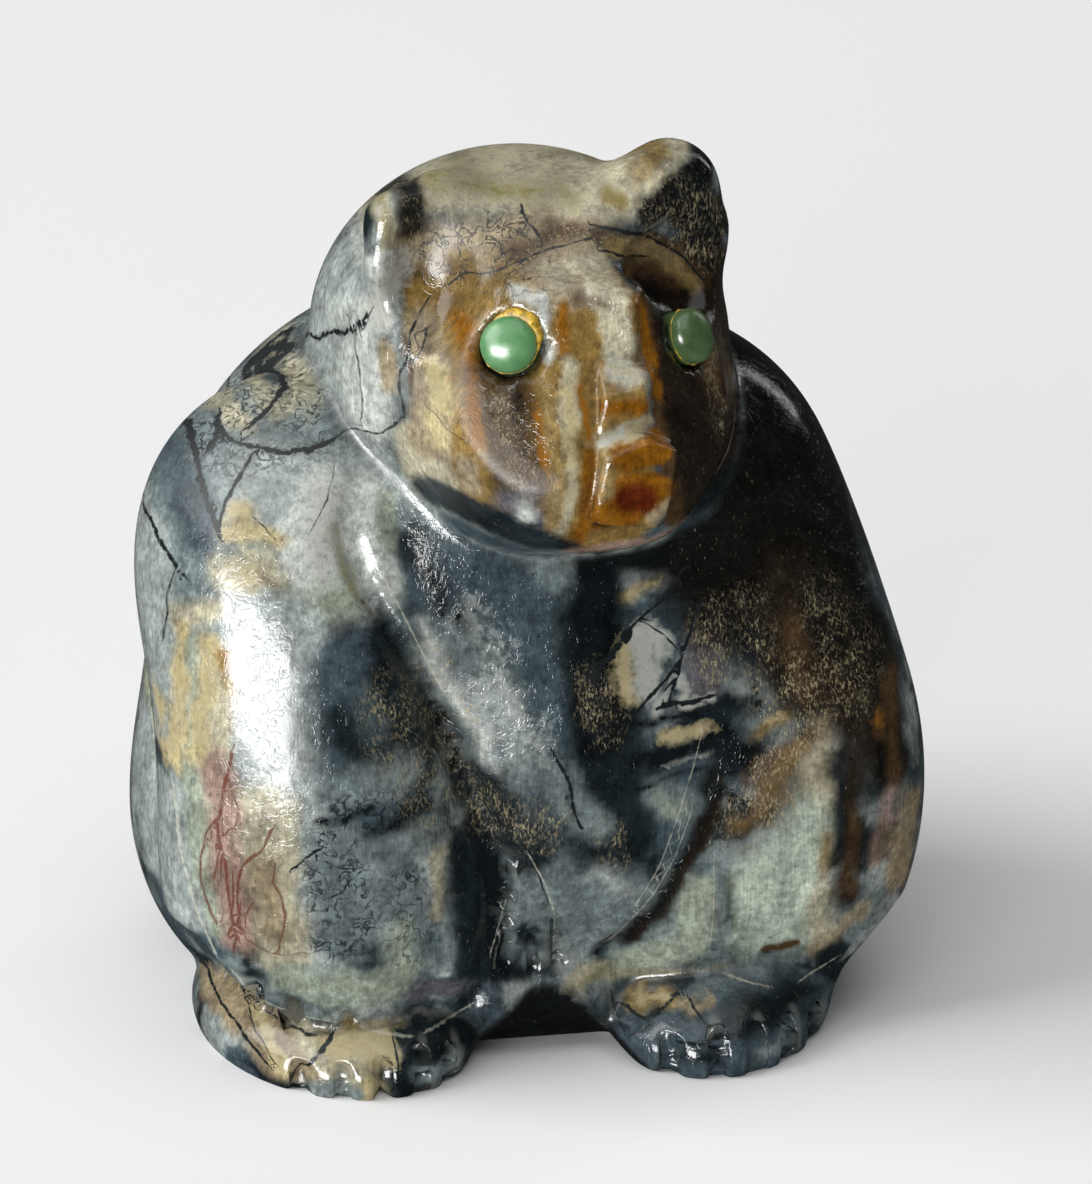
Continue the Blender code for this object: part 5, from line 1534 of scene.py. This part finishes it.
class BEAR_OT_lay_stage(bpy.types.Operator):
    """Lay the floor and set up the lights and the camera"""

    bl_idname = "bear.lay_stage"
    bl_label = "Lay the Stage"

    def execute(self, context):
        stage = context.scene.bear_stage
        bm = bmesh.new()
        bmesh.ops.create_grid(bm, x_segments=4, y_segments=4, size=6.0)
        board = object_of("floor", mesh_of("floor", bm, floor_board(stage.floor)))
        board.visible_glossy = False  # the polish mirrors the dark end of the room, and no floor

        for light in LIGHTS:
            lamp = bpy.data.lights.new("light_" + light.name, "AREA")
            lamp.shape = "RECTANGLE"
            lamp.size = 2.0 * LIGHT_DISTANCE * math.tan(math.radians(0.5 * light.wide))
            lamp.size_y = 2.0 * LIGHT_DISTANCE * math.tan(math.radians(0.5 * light.tall))
            lamp.energy = getattr(stage, light.name)
            found = object_of("light_" + light.name, lamp)
            towards = from_bearing(math.radians(light.azimuth), math.radians(light.elevation))
            found.location = AIM + towards * LIGHT_DISTANCE
            found.rotation_euler = towards.to_track_quat("Z", "Y").to_euler()
            found.visible_camera = False
            found.visible_diffuse, found.visible_glossy = light.lights, light.shines

        world = bpy.data.worlds.new("room")
        world.use_nodes = True
        background = world.node_tree.nodes["Background"]
        background.inputs["Color"].default_value = (1.0, 1.0, 1.0, 1.0)
        background.inputs["Strength"].default_value = stage.sky
        context.scene.world = world

        camera = object_of("camera", bpy.data.cameras.new("camera"))
        back = from_bearing(stage.azimuth, stage.elevation)
        turn = back.to_track_quat("Z", "Y")
        right, up = turn @ Vector((1.0, 0.0, 0.0)), turn @ Vector((0.0, 1.0, 0.0))
        camera.location = AIM + back * stage.distance + (right * FRAMING[0] + up * FRAMING[1]) * MM
        camera.rotation_euler = turn.to_euler()
        camera.data.lens = stage.lens
        camera.data.sensor_width = 36.0
        camera.data.clip_start = 0.01
        camera.data.clip_end = 20.0
        context.scene.camera = camera
        context.scene.view_settings.view_transform = "Standard"
        return {"FINISHED"}


class BEAR_PT_panel(bpy.types.Panel):
    bl_idname = "BEAR_PT_panel"
    bl_label = "Bear Fetish"
    bl_space_type = "VIEW_3D"
    bl_region_type = "UI"
    bl_category = "Bear"

    def draw(self, context):
        for operator in (BEAR_OT_carve_body, BEAR_OT_set_eyes, BEAR_OT_lay_cement, BEAR_OT_lay_stage):
            self.layout.operator(operator.bl_idname)
        for settings in (context.scene.bear_sizes, context.scene.bear_colours, context.scene.bear_stage):
            box = self.layout.box()
            for name in settings.__annotations__:
                box.prop(settings, name)


CLASSES = (BearSizes, StoneColours, StageSettings, BEAR_OT_carve_body, BEAR_OT_set_eyes, BEAR_OT_lay_cement,
           BEAR_OT_lay_stage, BEAR_PT_panel)


def register():
    for each in CLASSES:
        bpy.utils.register_class(each)
    bpy.types.Scene.bear_sizes = bpy.props.PointerProperty(type=BearSizes)
    bpy.types.Scene.bear_colours = bpy.props.PointerProperty(type=StoneColours)
    bpy.types.Scene.bear_stage = bpy.props.PointerProperty(type=StageSettings)


def unregister():
    del bpy.types.Scene.bear_stage
    del bpy.types.Scene.bear_colours
    del bpy.types.Scene.bear_sizes
    for each in reversed(CLASSES):
        bpy.utils.unregister_class(each)


def main():
    register()
    bpy.ops.bear.carve_body()
    bpy.ops.bear.set_eyes()
    bpy.ops.bear.lay_cement()
    bpy.ops.bear.lay_stage()


if __name__ == "__main__":
    main()
